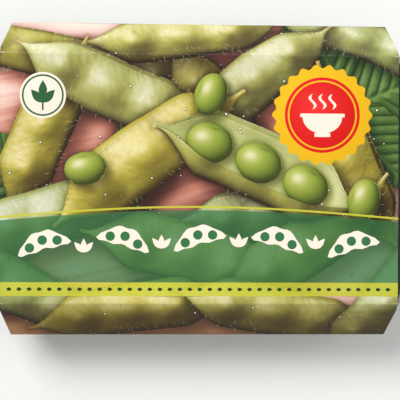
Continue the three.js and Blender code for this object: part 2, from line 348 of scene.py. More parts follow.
class PrintedPod(Motif):
    """A pod seen from its flat side, bent along an arc, that swells over its beans."""

    lift = 7.0
    fuzz = 1.0
    beans = 3
    hook = 3.0

    def __init__(self, x, y, angle, size, width, bend, tone=0.0, ripe=0.0):
        super().__init__(x, y, angle)
        self.length = size
        self.half = width / 2
        self.radius = size / math.radians(bend)
        self.tone = tone
        self.ripe = ripe

    def swell(self, share):
        """How far the body has swelled at a share of the length, from its ends inwards."""
        body = smooth(share, 0.035, 0.27) * (1 - smooth(share, 0.74, 0.965))
        return body**0.8

    def bean_places(self):
        return np.linspace(-0.24, 0.22, self.beans) * self.length

    def half_width(self, share):
        along = (share - 0.5) * self.length
        reach = 0.5 * self.length / (self.beans + 1)
        bulge = sum(np.exp(-(((along - place) / reach) ** 2)) for place in self.bean_places())
        return self.half * (0.07 + 0.93 * self.swell(share) * (0.9 + 0.1 * np.minimum(bulge, 1)))

    def spine(self, share):
        """How far the middle line hooks off the arc towards the tip."""
        return self.hook * smooth(share, 0.8, 1) ** 2

    def own(self, points):
        """Points as a distance along the bent middle line and one off it."""
        flat = super().own(points)
        side = np.sign(self.radius)
        reach = flat[:, 1] + self.radius
        along = np.arctan2(flat[:, 0], reach * side) * side * self.radius
        across = (np.hypot(flat[:, 0], reach) - abs(self.radius)) * side
        return np.column_stack([along, across - self.spine(along / self.length + 0.5)])

    def put_station(self, share, across):
        """Where a share of the length and a distance off the middle line lie on the sheet."""
        turn = (share - 0.5) * self.length / self.radius
        reach = self.radius + across + self.spine(share)
        return self.put(np.column_stack([reach * np.sin(turn), reach * np.cos(turn) - self.radius]))

    def strip(self, low, high, start=0.0, end=1.0, count=44):
        """The outline of a stretch between two lines along the pod, as shares of its half width."""
        share = start + (end - start) * (0.5 - 0.5 * np.cos(np.linspace(0, math.pi, count)))
        width = self.half_width(share)
        upper = self.put_station(share, width * high(share))
        lower = self.put_station(share, width * low(share))
        return np.vstack([lower, upper[::-1]])

    @property
    def outline(self):
        return self.strip(lambda share: -np.ones_like(share), lambda share: np.ones_like(share))

    def height(self, points):
        own = self.own(points)
        share = np.clip(own[:, 0] / self.length + 0.5, 0, 1)
        width = self.half_width(share)
        side = np.clip(own[:, 1] / width, -1, 1)
        dome = np.sqrt(np.maximum(1 - side**2, 0)) ** 0.9
        reach = 0.36 * self.length / (self.beans + 1)
        beans = sum(
            np.exp(-(((own[:, 0] - place) / reach) ** 2) - (own[:, 1] / (0.6 * self.half)) ** 2)
            for place in self.bean_places()
        )
        seam = np.exp(-(((side - 0.86) / 0.05) ** 2))
        seam = seam * smooth(share, 0.05, 0.15) * (1 - smooth(share, 0.9, 0.97))
        fine_wrinkles = mottle(own[:, 0] + 37, own[:, 0] * 0.7 + own[:, 1], 1.9)
        wide_wrinkles = mottle(own[:, 0], own[:, 1] + 91, 4.5)
        body = 0.44 * width * dome + 0.3 * self.half * beans * self.swell(share)
        return body + 0.32 * seam + 0.13 * fine_wrinkles + 0.42 * wide_wrinkles

    def paint(self, points, shade):
        own = self.own(points)
        share = own[:, 0] / self.length + 0.5
        side = own[:, 1] / self.half_width(np.clip(share, 0, 1))
        value, shine = self.lit(points)
        value = value + 0.12 + 0.1 * (mottle(own[:, 0], own[:, 1], 6) - 0.5) + self.tone
        value = value - 0.1 * smooth(np.abs(side), 0.7, 1)
        shine = shine * (0.5 + mottle(own[:, 0] * 1.5, own[:, 1] * 0.6, 1.3))
        colours = tones(value * shade, POD_TONES) * [1 + 0.06 * self.ripe, 1, 1 - 0.22 * self.ripe]
        ends = np.clip(1 - smooth(share, 0.015, 0.06) + smooth(share, 0.965, 0.995), 0, 1)[:, None]
        colours = mix(colours, tones(value * shade, WOOD_TONES) * [0.9, 0.95, 0.6], 0.55 * ends)
        line = np.exp(-(((side - 0.8) / 0.035) ** 2))[:, None] * smooth(share, 0.06, 0.2)[:, None]
        colours = mix(colours, colours * [0.74, 0.78, 0.66], 0.5 * line * (1 - ends))
        return mix(colours, GLINT, np.clip(shine * shade * 1.5, 0, 0.9)[:, None])


class PodPart(Motif):
    """A stretch of an opened pod: its lined back shell, or the lip of its front shell."""

    fuzz = 1.0

    def __init__(self, pod, low, high, start, end, hollow):
        super().__init__(*pod.place, pod.angle)
        self.pod = pod
        self.outline = pod.strip(low, high, start, end)
        self.hollow = hollow
        self.lift = pod.lift if hollow else 1.6

    def own(self, points):
        return self.pod.own(points)

    def height(self, points):
        return self.pod.height(points) * (-0.55 if self.hollow else 1)

    def paint(self, points, shade):
        if not self.hollow:
            return self.pod.paint(points, shade)
        value, shine = self.lit(points, 0.2, 0.1)
        own = self.own(points)
        fibres = mottle(own[:, 0] * 0.25, own[:, 1] * 3, 1.0)
        side = np.abs(own[:, 1]) / self.pod.half_width(np.clip(own[:, 0] / self.pod.length + 0.5, 0, 1))
        value = value + 0.06 * (fibres - 0.5) + 0.18 * smooth(side, 0.88, 0.97)
        return mix(tones(value * shade, LINING_TONES), GLINT, (shine * shade)[:, None])


class PrintedBean(Motif):
    """A shelled bean: a smooth green oval with a fine line."""

    lift = 4.0

    def __init__(self, x, y, angle, size=17, width=13):
        super().__init__(x, y, angle)
        self.half = np.array([size / 2, width / 2])

    @property
    def outline(self):
        turn = ring_of(40)
        squared = np.column_stack([np.cos(turn), np.sin(turn) * (1 + 0.06 * np.cos(turn) ** 2)])
        return self.put(squared * self.half)

    def height(self, points):
        share = (self.own(points) / self.half) ** 2
        return self.half[1] * 0.85 * np.sqrt(np.maximum(1 - share.sum(1), 0))

    def paint(self, points, shade):
        own = self.own(points) / self.half
        value, shine = self.lit(points, 0.06, 0.4, 30)
        value = value + 0.05 * (mottle(own[:, 0] * 9, own[:, 1] * 9, 5) - 0.5)
        mark = np.exp(-((own[:, 0] / 0.3) ** 2) - ((own[:, 1] - 0.72) / 0.07) ** 2)
        value = value * (1 - 0.35 * mark)
        shine = np.clip(shine * shade * 1.8, 0, 0.9)
        return mix(tones(value * shade, BEAN_TONES), GLINT, shine[:, None])


class PrintedLeaf(Motif):
    """A soybean leaflet with a midrib, side veins and soft quilting between them."""

    lift = 3.0
    fuzz = 0.5

    def __init__(self, x, y, angle, size, width, tone):
        super().__init__(x, y, angle)
        self.length = size
        self.half = width / 2
        self.tone = tone

    def half_width(self, share):
        return self.half * np.sin(math.pi * np.clip(share, 0, 1) ** 0.72) ** 0.85

    @property
    def outline(self):
        share = 0.5 - 0.5 * np.cos(np.linspace(0, math.pi, 34))
        wave = 1 + 0.03 * np.sin(share * 34)
        width = self.half_width(share) * wave + 0.25
        upper = np.column_stack([share * self.length, width])
        lower = np.column_stack([share * self.length, -width])
        return self.put(np.vstack([lower, upper[::-1]]))

    def veins(self, own):
        """How far from a side vein each point is, as a share of the gap between two of them."""
        run = (own[:, 0] - 0.62 * np.abs(own[:, 1]) ** 1.08) / (self.length / 8.5)
        return np.abs(run - np.round(run)) * 2

    def height(self, points):
        own = self.own(points)
        quilt = smooth(self.veins(own), 0, 0.75)
        fold = -0.03 * np.abs(own[:, 1]) ** 1.3
        sway = 1.3 * np.sin(own[:, 0] / self.length * 5 + own[:, 1] * 0.08)
        return 0.55 * quilt * smooth(np.abs(own[:, 1]), 0, 2.5) + fold + sway

    def paint(self, points, shade):
        own = self.own(points)
        value, shine = self.lit(points, 0.04, 0.12, 12)
        value = value * 0.92 + self.tone + 0.07 * (mottle(own[:, 0], own[:, 1], 3.2) - 0.5)
        colours = tones(value * shade, LEAF_TONES)
        taper = 1 - 0.75 * own[:, 0] / self.length
        rib = np.exp(-((own[:, 1] / (0.7 * taper)) ** 2))
        side_vein = np.exp(-((self.veins(own) / 0.14) ** 2)) * 0.45
        vein = np.clip(rib + side_vein, 0, 1)[:, None]
        colours = mix(colours, colours * 1.25 + [0.09, 0.1, 0.04], 0.7 * vein)
        return colours + (shine * shade)[:, None]


class PrintedBoard(Motif):
    """A wooden serving board, or with side set the edge that shows under it."""

    lift = 5.0

    def __init__(self, x, y, angle, size, width, side=False):
        super().__init__(x, y, angle)
        self.side = side
        corner = 12
        half = np.array([size / 2 - corner, width / 2 - corner])
        turn = ring_of(48)
        bend = np.column_stack([np.cos(turn), np.sin(turn)])
        self.outline = self.put(bend * corner + np.sign(np.round(bend, 6)) * half)

    def paint(self, points, shade):
        own = self.own(points)
        waves = own[:, 1] + 2.2 * mottle(own[:, 0] * 0.12, own[:, 1] * 0.3, 4)
        grain = 0.5 * mottle(own[:, 0] * 0.05, waves, 1.6) + 0.3 * mottle(own[:, 0] * 0.08, waves, 0.7)
        value = 0.44 + 0.4 * grain + 0.3 * (mottle(own[:, 0] * 0.3, own[:, 1], 14) - 0.3)
        value = value + 0.3 * smooth(-points[:, 0] - 0.4 * points[:, 1], 10, 80)
        rim = edge_distance(points, self.outline)
        value = value + 0.16 * np.exp(-((rim + 1.3) ** 2) / 0.5)
        value = value * (0.5 if self.side else 1.0)
        return tones(value * shade, WOOD_TONES)


class Cloth(Motif):
    """The pale cloth that everything in the picture lies on."""

    def __init__(self, outline):
        super().__init__(0, 0, 0)
        self.outline = outline

    def height(self, points):
        x, y = points[:, 0], points[:, 1]
        return 3.2 * np.sin((x + 0.4 * y) / 17 + 0.8 * np.sin(y / 21)) + 0.7 * mottle(x, y, 9)

    def paint(self, points, shade):
        value, _ = self.lit(points, 0.16, 0)
        return tones((value * 0.5 + 0.5) * shade, CLOTH_TONES)


class Flat(Motif):
    """A plain ink over a stretch of the sheet, laid over the picture as thickly as cover says."""

    def __init__(self, outline, ink, cover=1.0, glow=0.0):
        super().__init__(0, 0, 0)
        self.outline = np.asarray(outline, float)
        self.ink = np.array(ink)
        self.cover = cover
        self.glow = glow

    def paint(self, points, shade):
        reach = np.ptp(self.outline, axis=0).max() / 2
        brightest = self.outline.mean(0) + [-reach / 4, reach / 4]
        light = self.glow * (0.5 - np.hypot(*(points - brightest).T) / reach)
        return np.clip(self.ink[None] + light[:, None], 0, 1)


PLAIN = (Flat, Cloth)  # kinds of motif without fine detail
BEYOND = 90  # how far the plain inks reach both ways, past the sheet's ends


def box_outline(left, low, right, high):
    return np.array([[left, low], [right, low], [right, high], [left, high]], float)


def disc_outline(x, y, radius, waves=0, depth=0.0, count=64):
    """A disc, scalloped where it has waves."""
    turn = ring_of(count)
    reach = radius + depth * np.cos(turn * waves)
    return np.column_stack([x + reach * np.cos(turn), y + reach * np.sin(turn)])


def leaf_outline(x, y, angle, size, width, count=9):
    """A plain leaf that points away from its foot."""
    share = np.linspace(0, 1, count)
    half = width / 2 * np.sin(math.pi * share**0.85)
    upper = np.column_stack([share * size, half])
    lower = np.column_stack([share * size, -half])
    return turned(np.vstack([lower, upper[::-1][1:-1]]), angle) + [x, y]


def pod_outline(x, y, angle, size, width, count=16):
    """A plain pod for the ornaments, thick in the middle and pointed at both ends."""
    share = np.linspace(0, 1, count)
    half = width / 2 * np.sin(math.pi * share) ** 0.6 * (1 + 0.12 * np.cos(share * 6 * math.pi))
    lean = 0.16 * size * np.sin(math.pi * share)
    upper = np.column_stack([(share - 0.5) * size, lean + half])
    lower = np.column_stack([(share - 0.5) * size, lean - half])
    return turned(np.vstack([lower, upper[::-1][1:-1]]), angle) + [x, y]


def sprig(x, y, size, width, ink, rise=0.0, count=9):
    """Three leaves that spread from one point, with the middle one set higher by the rise."""
    spread = ((48, 0.0), (132, 0.0), (90, rise))
    return [Flat(leaf_outline(x, y + lift, turn, size, width, count), ink) for turn, lift in spread]


def served_pods():
    """The picture: pods, leaflets and shelled beans, heaped on a wooden board on a cloth."""
    board = dict(angle=13, size=158, width=92)
    picture = [PrintedBoard(-24, 3, side=True, **board), PrintedBoard(-25, 7, **board)]
    picture[1].lift = 0.0
    # Foot, angle, length, width and tone of each leaflet
    leaflets = [
        (58, 34, 118, 46, 33, 0.02),
        (62, 30, 22, 44, 32, -0.03),
        (56, 28, -48, 42, 30, 0.04),
        (-66, -10, 214, 46, 32, -0.02),
        (-64, -6, 150, 42, 30, 0.03),
        (-20, 52, 78, 44, 30, 0.0),
    ]
    picture += [PrintedLeaf(*leaflet) for leaflet in leaflets]
    # Middle, angle, length, width, bend in degrees and tone of each pod, from the deepest up
    pods = [
        (-22, 24, 80, 80, 22, 14, -0.2),
        (10, 22, -58, 84, 23, 15, -0.2),
        (30, -14, 8, 84, 22, -14, -0.2),
        (-66, 52, -14, 84, 22, 14, -0.05),
        (-6, 60, 9, 88, 23, -16, -0.05),
        (66, 60, -22, 80, 22, 15, -0.04),
        (-62, 22, 66, 82, 23, 16, -0.04),
        (-36, 36, -24, 88, 24, -18, 0.0),
        (22, 40, 40, 84, 23, 16, -0.03),
        (60, 8, -68, 84, 23, -15, -0.02),
        (-56, -14, 18, 88, 24, -16, 0.0),
        (-4, -30, -16, 90, 24, 18, -0.02),
        (44, -26, 34, 86, 24, -16, 0.0),
        (-70, -46, -28, 82, 23, 14, -0.03),
        (-28, -54, 10, 86, 24, 15, 0.01),
        (32, -56, -12, 88, 24, -14, 0.0),
        (76, -50, 52, 80, 23, 14, -0.02),
        (-22, 10, 34, 94, 27, 20, 0.03),
    ]
    for index, (*form, tone) in enumerate(pods):
        picture.append(PrintedPod(*form, tone=tone, ripe=math.sin(index * 2.3)))
    picture += opened_pod(24, 6, -24)
    picture += [PrintedBean(*bean) for bean in ((4, 34, 70), (-46, 4, 10), (66, -8, 75))]
    return picture + salt_flakes()


def opened_pod(x, y, angle):
    """A pod split along one seam: its lined back shell, three beans and its front shell's lip."""

    def lower_edge(share):
        return -np.ones_like(share)

    def lip_edge(share):
        return -0.2 - 0.35 * np.sin(math.pi * share)

    pod = PrintedPod(x, y, angle, 92, 28, 16)
    parts = [PodPart(pod, lower_edge, np.ones_like, 0.0, 1.0, hollow=True)]
    for place in pod.bean_places():
        spot = pod.put_station(np.array([place / pod.length + 0.5]), np.array([0.4]))[0]
        bean = PrintedBean(*spot, angle - 0.3 * place, 19, 16)
        bean.lift = 3.0
        parts.append(bean)
    return [*parts, PodPart(pod, lower_edge, lip_edge, 0.02, 0.97, hollow=False)]


def salt_flakes():
    """Small flakes of salt, strewn over the picture."""
    count = 60
    spread = np.array([78, 64])
    random = np.random.default_rng(8)
    flakes = []
    for x, y in random.uniform(-spread, spread, (count, 2)):
        turn = ring_of(6) + random.uniform(-0.3, 0.3, 6)
        reach = random.uniform(0.18, 0.44)
        outline = np.column_stack([x + reach * np.cos(turn), y + reach * np.sin(turn)])
        flake = Flat(outline, SALT)
        flake.lift = 0.3
        flakes.append(flake)
    return flakes


def pod_hairs(motifs):
    """Fine pale hairs that stand off the printed pods, wherever nothing lies over them."""
    random = np.random.default_rng(12)
    each = 80
    hairs = []
    for index, pod in enumerate(motifs):
        if not isinstance(pod, PrintedPod):
            continue
        share = random.uniform(0.08, 0.92, each)
        side = np.sign(random.uniform(-1, 1, each))
        root = pod.half_width(share) * side * (1 - 0.6 * random.random(each) ** 2)
        thickness = 0.11 / pod.length
        lean = random.normal(0.7, 0.6, each) / pod.length
        tip = pod.put_station(share + lean, root + side * random.uniform(0.9, 2.1, each))
        feet = [pod.put_station(share + sign * thickness, root) for sign in (-1, 1)]
        for i in np.flatnonzero(topmost(feet[0], motifs) == index):
            hairs.append(Flat([feet[0][i], feet[1][i], tip[i]], HAIR, 0.55))
    return hairs


def plain_panels(path, inks):
    """The sleeve's lower sides and its underside, each in one ink."""
    deep = np.array(inks.band_ink) * 0.62
    side, bottom, end = path.waist, path.bottom, path.reach
    panels = []
    for sign in (-1, 1):
        low, high = sorted((sign * side, sign * bottom))
        panels.append(Flat(box_outline(-BEYOND, low, BEYOND, high), deep))
        low, high = sorted((sign * bottom, sign * end))
        panels.append(Flat(box_outline(-BEYOND, low, BEYOND, high), inks.cream_ink))
    return panels


def arch(x, half):
    """The band's curve: 1 in the middle of the front and 0 at its ends."""
    return np.cos(x / half * math.pi / 2)


def front_graphics(inks):
    """What lies over the picture: a green band with a frieze, a lime stripe, a badge and a seal."""
    half = SLEEVE_HIGH[0] + 1
    band_low, stripe_low = -41.5, -47
    x = np.linspace(-half, half, 60)
    crest = -17 + 4.5 * arch(x, half)
    band = np.vstack([[[-half, band_low], [half, band_low]], np.column_stack([x, crest])[::-1]])
    rule = np.vstack([np.column_stack([x, crest + 0.9]), np.column_stack([x, crest + 1.7])[::-1]])
    shapes = [
        Flat(band, inks.band_ink, 0.74, 0.04),
        Flat(rule, inks.lime_ink, 0.95),
        Flat(box_outline(-half, stripe_low, half, band_low), inks.lime_ink, 0.88, 0.05),
    ]
    shapes += frieze(inks, half)
    dot_size, dot_ink = 2.2, np.array(inks.band_ink) * 0.55
    for x in np.arange(-76, 77, 4.0):
        middle = (band_low + stripe_low) / 2
        shapes.append(Flat(leaf_outline(x - dot_size / 2, middle, 0, dot_size, 1.5, 5), dot_ink))
    return shapes + badge(inks, 49, 26) + small_seal(inks, -63, 33)


def frieze(inks, half):
    """Cream pods that tilt to and fro along the band, with three beans each and sprigs between."""
    shapes = []
    count, bean_gap = 5, 5.7
    for index, x in enumerate(np.linspace(-62, 62, count)):
        y = -29.4 + 3.6 * arch(x, half)
        tilt = 16 if index % 2 == 0 else -16
        shapes.append(Flat(pod_outline(x, y, tilt, 22, 7.4), inks.cream_ink))
        for place in (-bean_gap, 0, bean_gap):
            spot = turned([place, 3.5 - 0.05 * place**2], tilt)
            shapes.append(Flat(disc_outline(x + spot[0], y + spot[1], 1.9, count=28), inks.band_ink))
        if index < count - 1:
            shapes += sprig(x + 15.5, y - 1.5, 5.6, 2.4, inks.cream_ink, count=7)
    return shapes


def badge(inks, x, y):
    """A scalloped yellow badge with a red middle and a steaming bowl."""
    yellow, red, cream = inks.badge_ink, inks.red_ink, inks.cream_ink
    shapes = [
        Flat(disc_outline(x, y, 19.6, 22, 0.75, 264), yellow, 1.0, 0.07),
        Flat(disc_outline(x, y, 15.2, count=72), red, 1.0, 0.06),
        Flat(disc_outline(x, y, 14.0, count=72), yellow, 1.0, 0.05),
        Flat(disc_outline(x, y, 13.3, count=72), red, 1.0, 0.1),
    ]
    turn = np.linspace(math.pi, 2 * math.pi, 20)
    bowl = np.column_stack([x + 8 * np.cos(turn), y - 0.8 + 6.6 * np.sin(turn)])
    foot = box_outline(x - 3.2, y - 8.8, x + 3.2, y - 7.2)
    rim = box_outline(x - 9, y - 0.8, x + 9, y + 0.6)
    shapes += [Flat(part, cream) for part in (bowl, foot, rim)]
    rise = np.linspace(0, 1, 14)
    for shift in (-4, 0, 4):
        middle = x + shift + 1.1 * np.sin(rise * 2 * math.pi)
        half = 0.65 * np.sin(math.pi * rise) ** 0.5
        height = y + 2.2 + 6.4 * rise
        left = np.column_stack([middle - half, height])
        right = np.column_stack([middle + half, height])
        shapes.append(Flat(np.vstack([left, right[::-1][1:-1]]), cream))
    return shapes


def small_seal(inks, x, y):
    """A small cream disc with a green rim and a sprig on a stalk."""
    green = np.array(inks.band_ink) * 0.8
    shapes = [
        Flat(disc_outline(x, y, 9.2), inks.cream_ink, 1.0, 0.03),
        Flat(disc_outline(x, y, 8.3), green),
        Flat(disc_outline(x, y, 7.6), inks.cream_ink, 1.0, 0.03),
        Flat(box_outline(x - 0.35, y - 6, x + 0.35, y + 1), green),
    ]
    return shapes + sprig(x, y - 3, 7, 3.4, green, rise=2)


def back_graphics(path, inks):
    """Plain rules and leaves for the lower sides, and a ruled box and bars for the underside."""
    green = np.array(inks.band_ink) * 0.8
    shapes = []

    def bar(left, low, right, high, cover=1.0, ink=green):
        shapes.append(Flat(box_outline(left, low, right, high), ink, cover))

    for sign in (-1, 1):
        rule = sign * (path.waist + 2)
        middle = sign * (path.waist + path.bottom) / 2
        bar(-74, rule - 0.5, 74, rule + 0.5, ink=inks.lime_ink)
        for x in np.arange(-60, 61, 10.0):
            for turn in (30, 150):
                shapes.append(Flat(leaf_outline(x, middle - 3, turn, 6.5, 3), inks.cream_ink, 0.95))
    left, right, low, pitch, rows = -62, 62, path.bottom + 6, 5, 8
    for row in range(rows + 1):
        bar(left, low + pitch * row, left + 56, low + pitch * row + 0.4)
    for column in (0, 34, 56):
        bar(left + column - 0.2, low, left + column + 0.2, low + pitch * rows + 0.4)
    for row in range(rows):
        foot = low + pitch * row + 2
        bar(left + 3, foot, left + 16 + 9 * (row % 3), foot + 1, 0.6)
        bar(left + 38, foot, left + 46 + 2 * (row % 2), foot + 1, 0.6)
    for line in range(7):
        end = right if line % 3 < 2 else 40
        foot = low + 6 * line + 1
        head = -low - pitch * line - 0.1
        bar(8, foot, end, foot + 1.2, 0.5)
        bar(left, head - 0.9, end, head, 0.45)
    return shapes


# The sleeve as a flat sheet, and where each of its points goes when it is folded


class FoldedPath:
    """The board's outer face, followed across the sleeve from its inner glued end to its outer one."""

    def __init__(self, sizes):
        top = SLEEVE_HIGH[2]
        front = sizes.top_width / MM / 2
        waist = sizes.waist_width / MM / 2
        waist_height = sizes.waist_height / MM
        bottom = sizes.bottom_width / MM / 2
        lap = sizes.lap_width / MM / 2
        self.board = sizes.board / MM
        glue, ramp, short = 0.02, 4.0, 0.3
        lapped = self.board + glue
        corners = [
            (lap, lapped),
            (-lap, lapped),
            (-lap - ramp, 0),
            (-bottom, 0),
            (-waist, waist_height),
            (-front, top),
            (front, top),
            (waist, waist_height),
            (bottom, 0),
            (-lap + short, 0),
        ]
        self.points = self.rounded(np.array(corners, float), sizes.fold_radius / MM)
        steps = np.linalg.norm(np.diff(self.points, axis=0), axis=1)
        self.along = np.concatenate([[0], np.cumsum(steps)])
        flat_top = np.isclose(self.points[:, 1], top)
        self.along -= self.along[flat_top].mean()
        forward = np.diff(self.points, axis=0) / steps[:, None]
        forward = np.vstack([forward[:1], forward, forward[-1:]])
        mitre = forward[:-1] + forward[1:]
        mitre /= np.linalg.norm(mitre, axis=1)[:, None]
        bend = (mitre * forward[:-1]).sum(1)
        inward = np.column_stack([mitre[:, 1], -mitre[:, 0]])
        self.inner = self.points + inward * (self.board / bend)[:, None]
        self.fold = self.at_corner(front, top)
        self.waist = self.at_corner(waist, waist_height)
        self.bottom = self.at_corner(bottom, 0)
        self.start, self.reach = self.along[0], self.along[-1]
        self.taper = (waist_height, top - sizes.taper_drop / MM)
        self.half_lengths = (sizes.waist_length / MM / 2, SLEEVE_HIGH[0])

    def rounded(self, corners, radius):
        """The corners joined, with a round fold of five points at each."""
        points = [corners[0]]
        for before, corner, after in zip(corners, corners[1:], corners[2:]):
            back = (before - corner) / np.linalg.norm(before - corner)
            on = (after - corner) / np.linalg.norm(after - corner)
            reach = radius / math.tan(math.acos(float(back @ on)) / 2)
            for share in np.linspace(0, 1, 5):
                edge = (1 - share) ** 2 * back * reach + share**2 * on * reach
                points.append(corner + edge)
        return np.array([*points, corners[-1]])

    def at_corner(self, y, z):
        """How far along the board a corner of its section lies."""
        return self.along[nearest(self.points, [y, z])]

    def place(self, flat, inner=False):
        """Points of the flat sheet, folded, in metres."""
        section = self.inner if inner else self.points
        y = np.interp(flat[:, 1], self.along, section[:, 0])
        z = np.interp(flat[:, 1], self.along, section[:, 1])
        return np.column_stack([flat[:, 0], y, z]) * MM

    def half_length(self, along):
        """Half the sheet's length, which shrinks where its ends taper."""
        height = np.interp(along, self.along, self.points[:, 1])
        return np.interp(height, self.taper, self.half_lengths)

    def stations(self):
        """Where the sheet's ends need a point: at folds, where the taper starts, and evenly between."""
        front = (self.along < 0) & (self.along > -self.bottom)
        start = np.interp(self.taper[1], self.points[front, 1], self.along[front])
        wanted = np.concatenate([self.along, [start, -start]])
        even = np.arange(self.start + 1, self.reach, 1.5)
        far = np.abs(even[:, None] - wanted[None]).min(1) > 0.4
        return np.unique(np.round(np.concatenate([wanted, even[far]]), 6))


def sheet_outline(path):
    """The sheet's edge, anticlockwise, and the stations on each of its long sides."""
    along = path.stations()
    half = path.half_length(along)
    right = np.column_stack([half, along])
    left = np.column_stack([-half, along])[::-1]
    return np.vstack([right, left]), along


def triangulated(path, points, loop_size, lines):
    """Triangles between the points, of which the sheet's edge comes first, that keep every line."""
    edge = list(range(loop_size))
    found = delaunay_2d_cdt([Vector(point) for point in points], lines, [edge], 1, 1e-5, False)
    flat = np.array([tuple(point) for point in found[0]])
    triangles = np.array(found[2], dtype=np.int64)
    across, along = flat[triangles].mean(1).T
    on_sheet = (along > path.start) & (along < path.reach)
    on_sheet &= np.abs(across) < path.half_length(along)
    used, triangles = np.unique(triangles[on_sheet], return_inverse=True)
    return flat[used], triangles.reshape(-1, 3)


def topmost(points, motifs):
    """The last of the motifs whose outline holds each point, or -1."""
    owner = np.full(len(points), -1)
    for index in range(len(motifs) - 1, -1, -1):
        open_points = np.flatnonzero(owner < 0)
        held = inside(points[open_points], motifs[index].outline)
        owner[open_points[held]] = index
    return owner


def dense(outline, step=0.8):
    """The same closed outline with more points along it."""
    points = []
    for start, end in zip(outline, np.roll(outline, -1, axis=0)):
        count = max(1, round(float(np.hypot(*(end - start))) / step))
        points.append(start + (end - start) * (np.arange(count) / count)[:, None])
    return np.vstack(points)


def beside_outlines(path, motifs, gap=0.3):
    """Points close along both sides of the painted outlines that show, for even shade beside them."""
    groups = []
    for index, motif in enumerate(motifs):
        if isinstance(motif, PLAIN):
            continue
        outline = dense(motif.outline)
        run = np.roll(outline, -1, axis=0) - np.roll(outline, 1, axis=0)
        aside = np.column_stack([run[:, 1], -run[:, 0]])
        aside = aside / np.maximum(np.hypot(*run.T), 1e-9)[:, None]
        for side in (-gap, gap):
            points = outline + aside * side
            shows = topmost(points, motifs) <= index
            on_sheet = path.half_length(points[:, 1]) - np.abs(points[:, 0]) > gap
            in_picture = np.abs(points[:, 1]) < path.waist - gap
            in_picture &= np.abs(np.abs(points[:, 1]) - path.fold) > 0.8
            off_outline = np.abs(edge_distance(points, motif.outline)) > 0.7 * gap
            groups.append(points[shows & on_sheet & in_picture & off_outline])
    return np.vstack(groups)


def scattered(path, motifs, fine=0.62):
    """Points all over the sheet: close together in the picture and far apart in plain ink."""
    random = np.random.default_rng(3)
    rows = np.arange(path.start + 0.3, path.reach - 0.2, fine * 0.87)
    groups = []
    for index, row in enumerate(rows):
        half = path.half_length(row) - 0.3
        x = np.arange(-half + (fine / 2 if index % 2 else 0), half, fine)
        groups.append(np.column_stack([x, np.full(len(x), row)]))
    points = np.vstack(groups) + random.uniform(-0.12, 0.12, (sum(map(len, groups)), 2)) * fine
    owner = topmost(points, motifs)
    plain = np.array([isinstance(motif, PLAIN) for motif in motifs] + [True])[owner]
    in_picture = np.abs(points[:, 1]) < path.waist
    keep = random.random(len(points)) < np.where(in_picture, np.where(plain, 0.3, 1.0), 0.03)
    keep &= path.half_length(points[:, 1]) - np.abs(points[:, 0]) > 0.3
    front_folds = [fold for fold in np.round(path.along, 6) if abs(abs(fold) - path.fold) < 2]
    keep &= np.abs(points[:, 1][:, None] - front_folds).min(1) > 0.4 * fine
    for index, motif in enumerate(motifs):
        if isinstance(motif, PLAIN):
            continue
        low, high = motif.outline.min(0) - fine, motif.outline.max(0) + fine
        boxed = np.all((points > low) & (points < high), axis=1)
        near = np.flatnonzero(keep & boxed & (owner <= index))
        keep[near[np.abs(edge_distance(points[near], motif.outline)) < 0.8 * fine]] = False
    groups = [points[keep], beside_outlines(path, motifs)]
    for fold in front_folds:
        x = np.arange(fine - path.half_length(fold), path.half_length(fold) - 0.5 * fine, fine)
        groups.append(np.column_stack([x, np.full(len(x), fold)]))
    return np.vstack(groups)


def shadows(points, owners, motifs):
    """The share of light that each point keeps under and beside the things that stand off it."""
    shade = np.ones(len(points))
    for index, motif in enumerate(motifs):
        if motif.lift <= 0:
            continue
        offset = -LIGHT[:2] / LIGHT[2] * motif.lift
        reach = 1.4 * motif.lift + 3
        low = motif.outline.min(0) - reach
        high = motif.outline.max(0) + reach
        boxed = np.all((points > low) & (points < high), axis=1)
        near = np.flatnonzero((owners < index) & boxed)
        if not len(near):
            continue
        cast = edge_distance(points[near] - offset, motif.outline)
        touch = np.maximum(edge_distance(points[near], motif.outline), 0)
        blur = 0.6 * motif.lift
        shade[near] *= 1 - 0.5 * (1 - smooth(cast, -blur, blur))
        shade[near] *= 1 - 0.45 * np.exp(-touch / (0.3 * motif.lift + 0.1))
    return np.maximum(shade, 0.08)


def printed_colours(flat, triangles, motifs, graphics):
    """Colour, relief texture strength and texture place of every corner of every triangle."""
    middles = flat[triangles].mean(1)
    owner = np.maximum(topmost(middles, motifs), 0)
    pairs, back = np.unique(triangles * len(motifs) + owner[:, None], return_inverse=True)
    back = back.reshape(triangles.shape)
    points, owners = flat[pairs // len(motifs)], pairs % len(motifs)
    # Painted shade: the picture is darkened and warmed towards its lower side, where the front slope
    # falls away from the light
    pictured = np.array([not isinstance(motif, Flat) for motif in motifs])[owners]
    painted_slope_shade = smooth(-points[:, 1], 46, 60) * pictured
    shade = shadows(points, owners, motifs) * (1 - 0.5 * painted_slope_shade)
    colours = np.ones((len(points), 4))
    places = np.zeros((len(points), 2))
    apart = 37  # mm, so that no two motifs share their fibres
    for index, motif in enumerate(motifs):
        mine = np.flatnonzero(owners == index)
        if len(mine):
            colours[mine, :3] = motif.paint(points[mine], shade[mine])
            colours[mine, 3] = motif.fuzz
            places[mine] = motif.own(points[mine]) + index * apart
    # The painted shade on the front slope also takes out blue, for a warmer shadow
    colours[:, :3] *= 1 - painted_slope_shade[:, None] * [0, 0.04, 0.28]
    colours, places = colours[back], places[back]
    corner_points = flat[triangles]
    for shape in graphics:
        held = np.flatnonzero(inside(middles, shape.outline))
        if len(held):
            ink = shape.paint(corner_points[held].reshape(-1, 2), 1.0).reshape(-1, 3, 3)
            colours[held, :, :3] = mix(colours[held, :, :3], ink, shape.cover)
            colours[held, :, 3] *= 1 - shape.cover
    return colours.reshape(-1, 4), places.reshape(-1, 2)


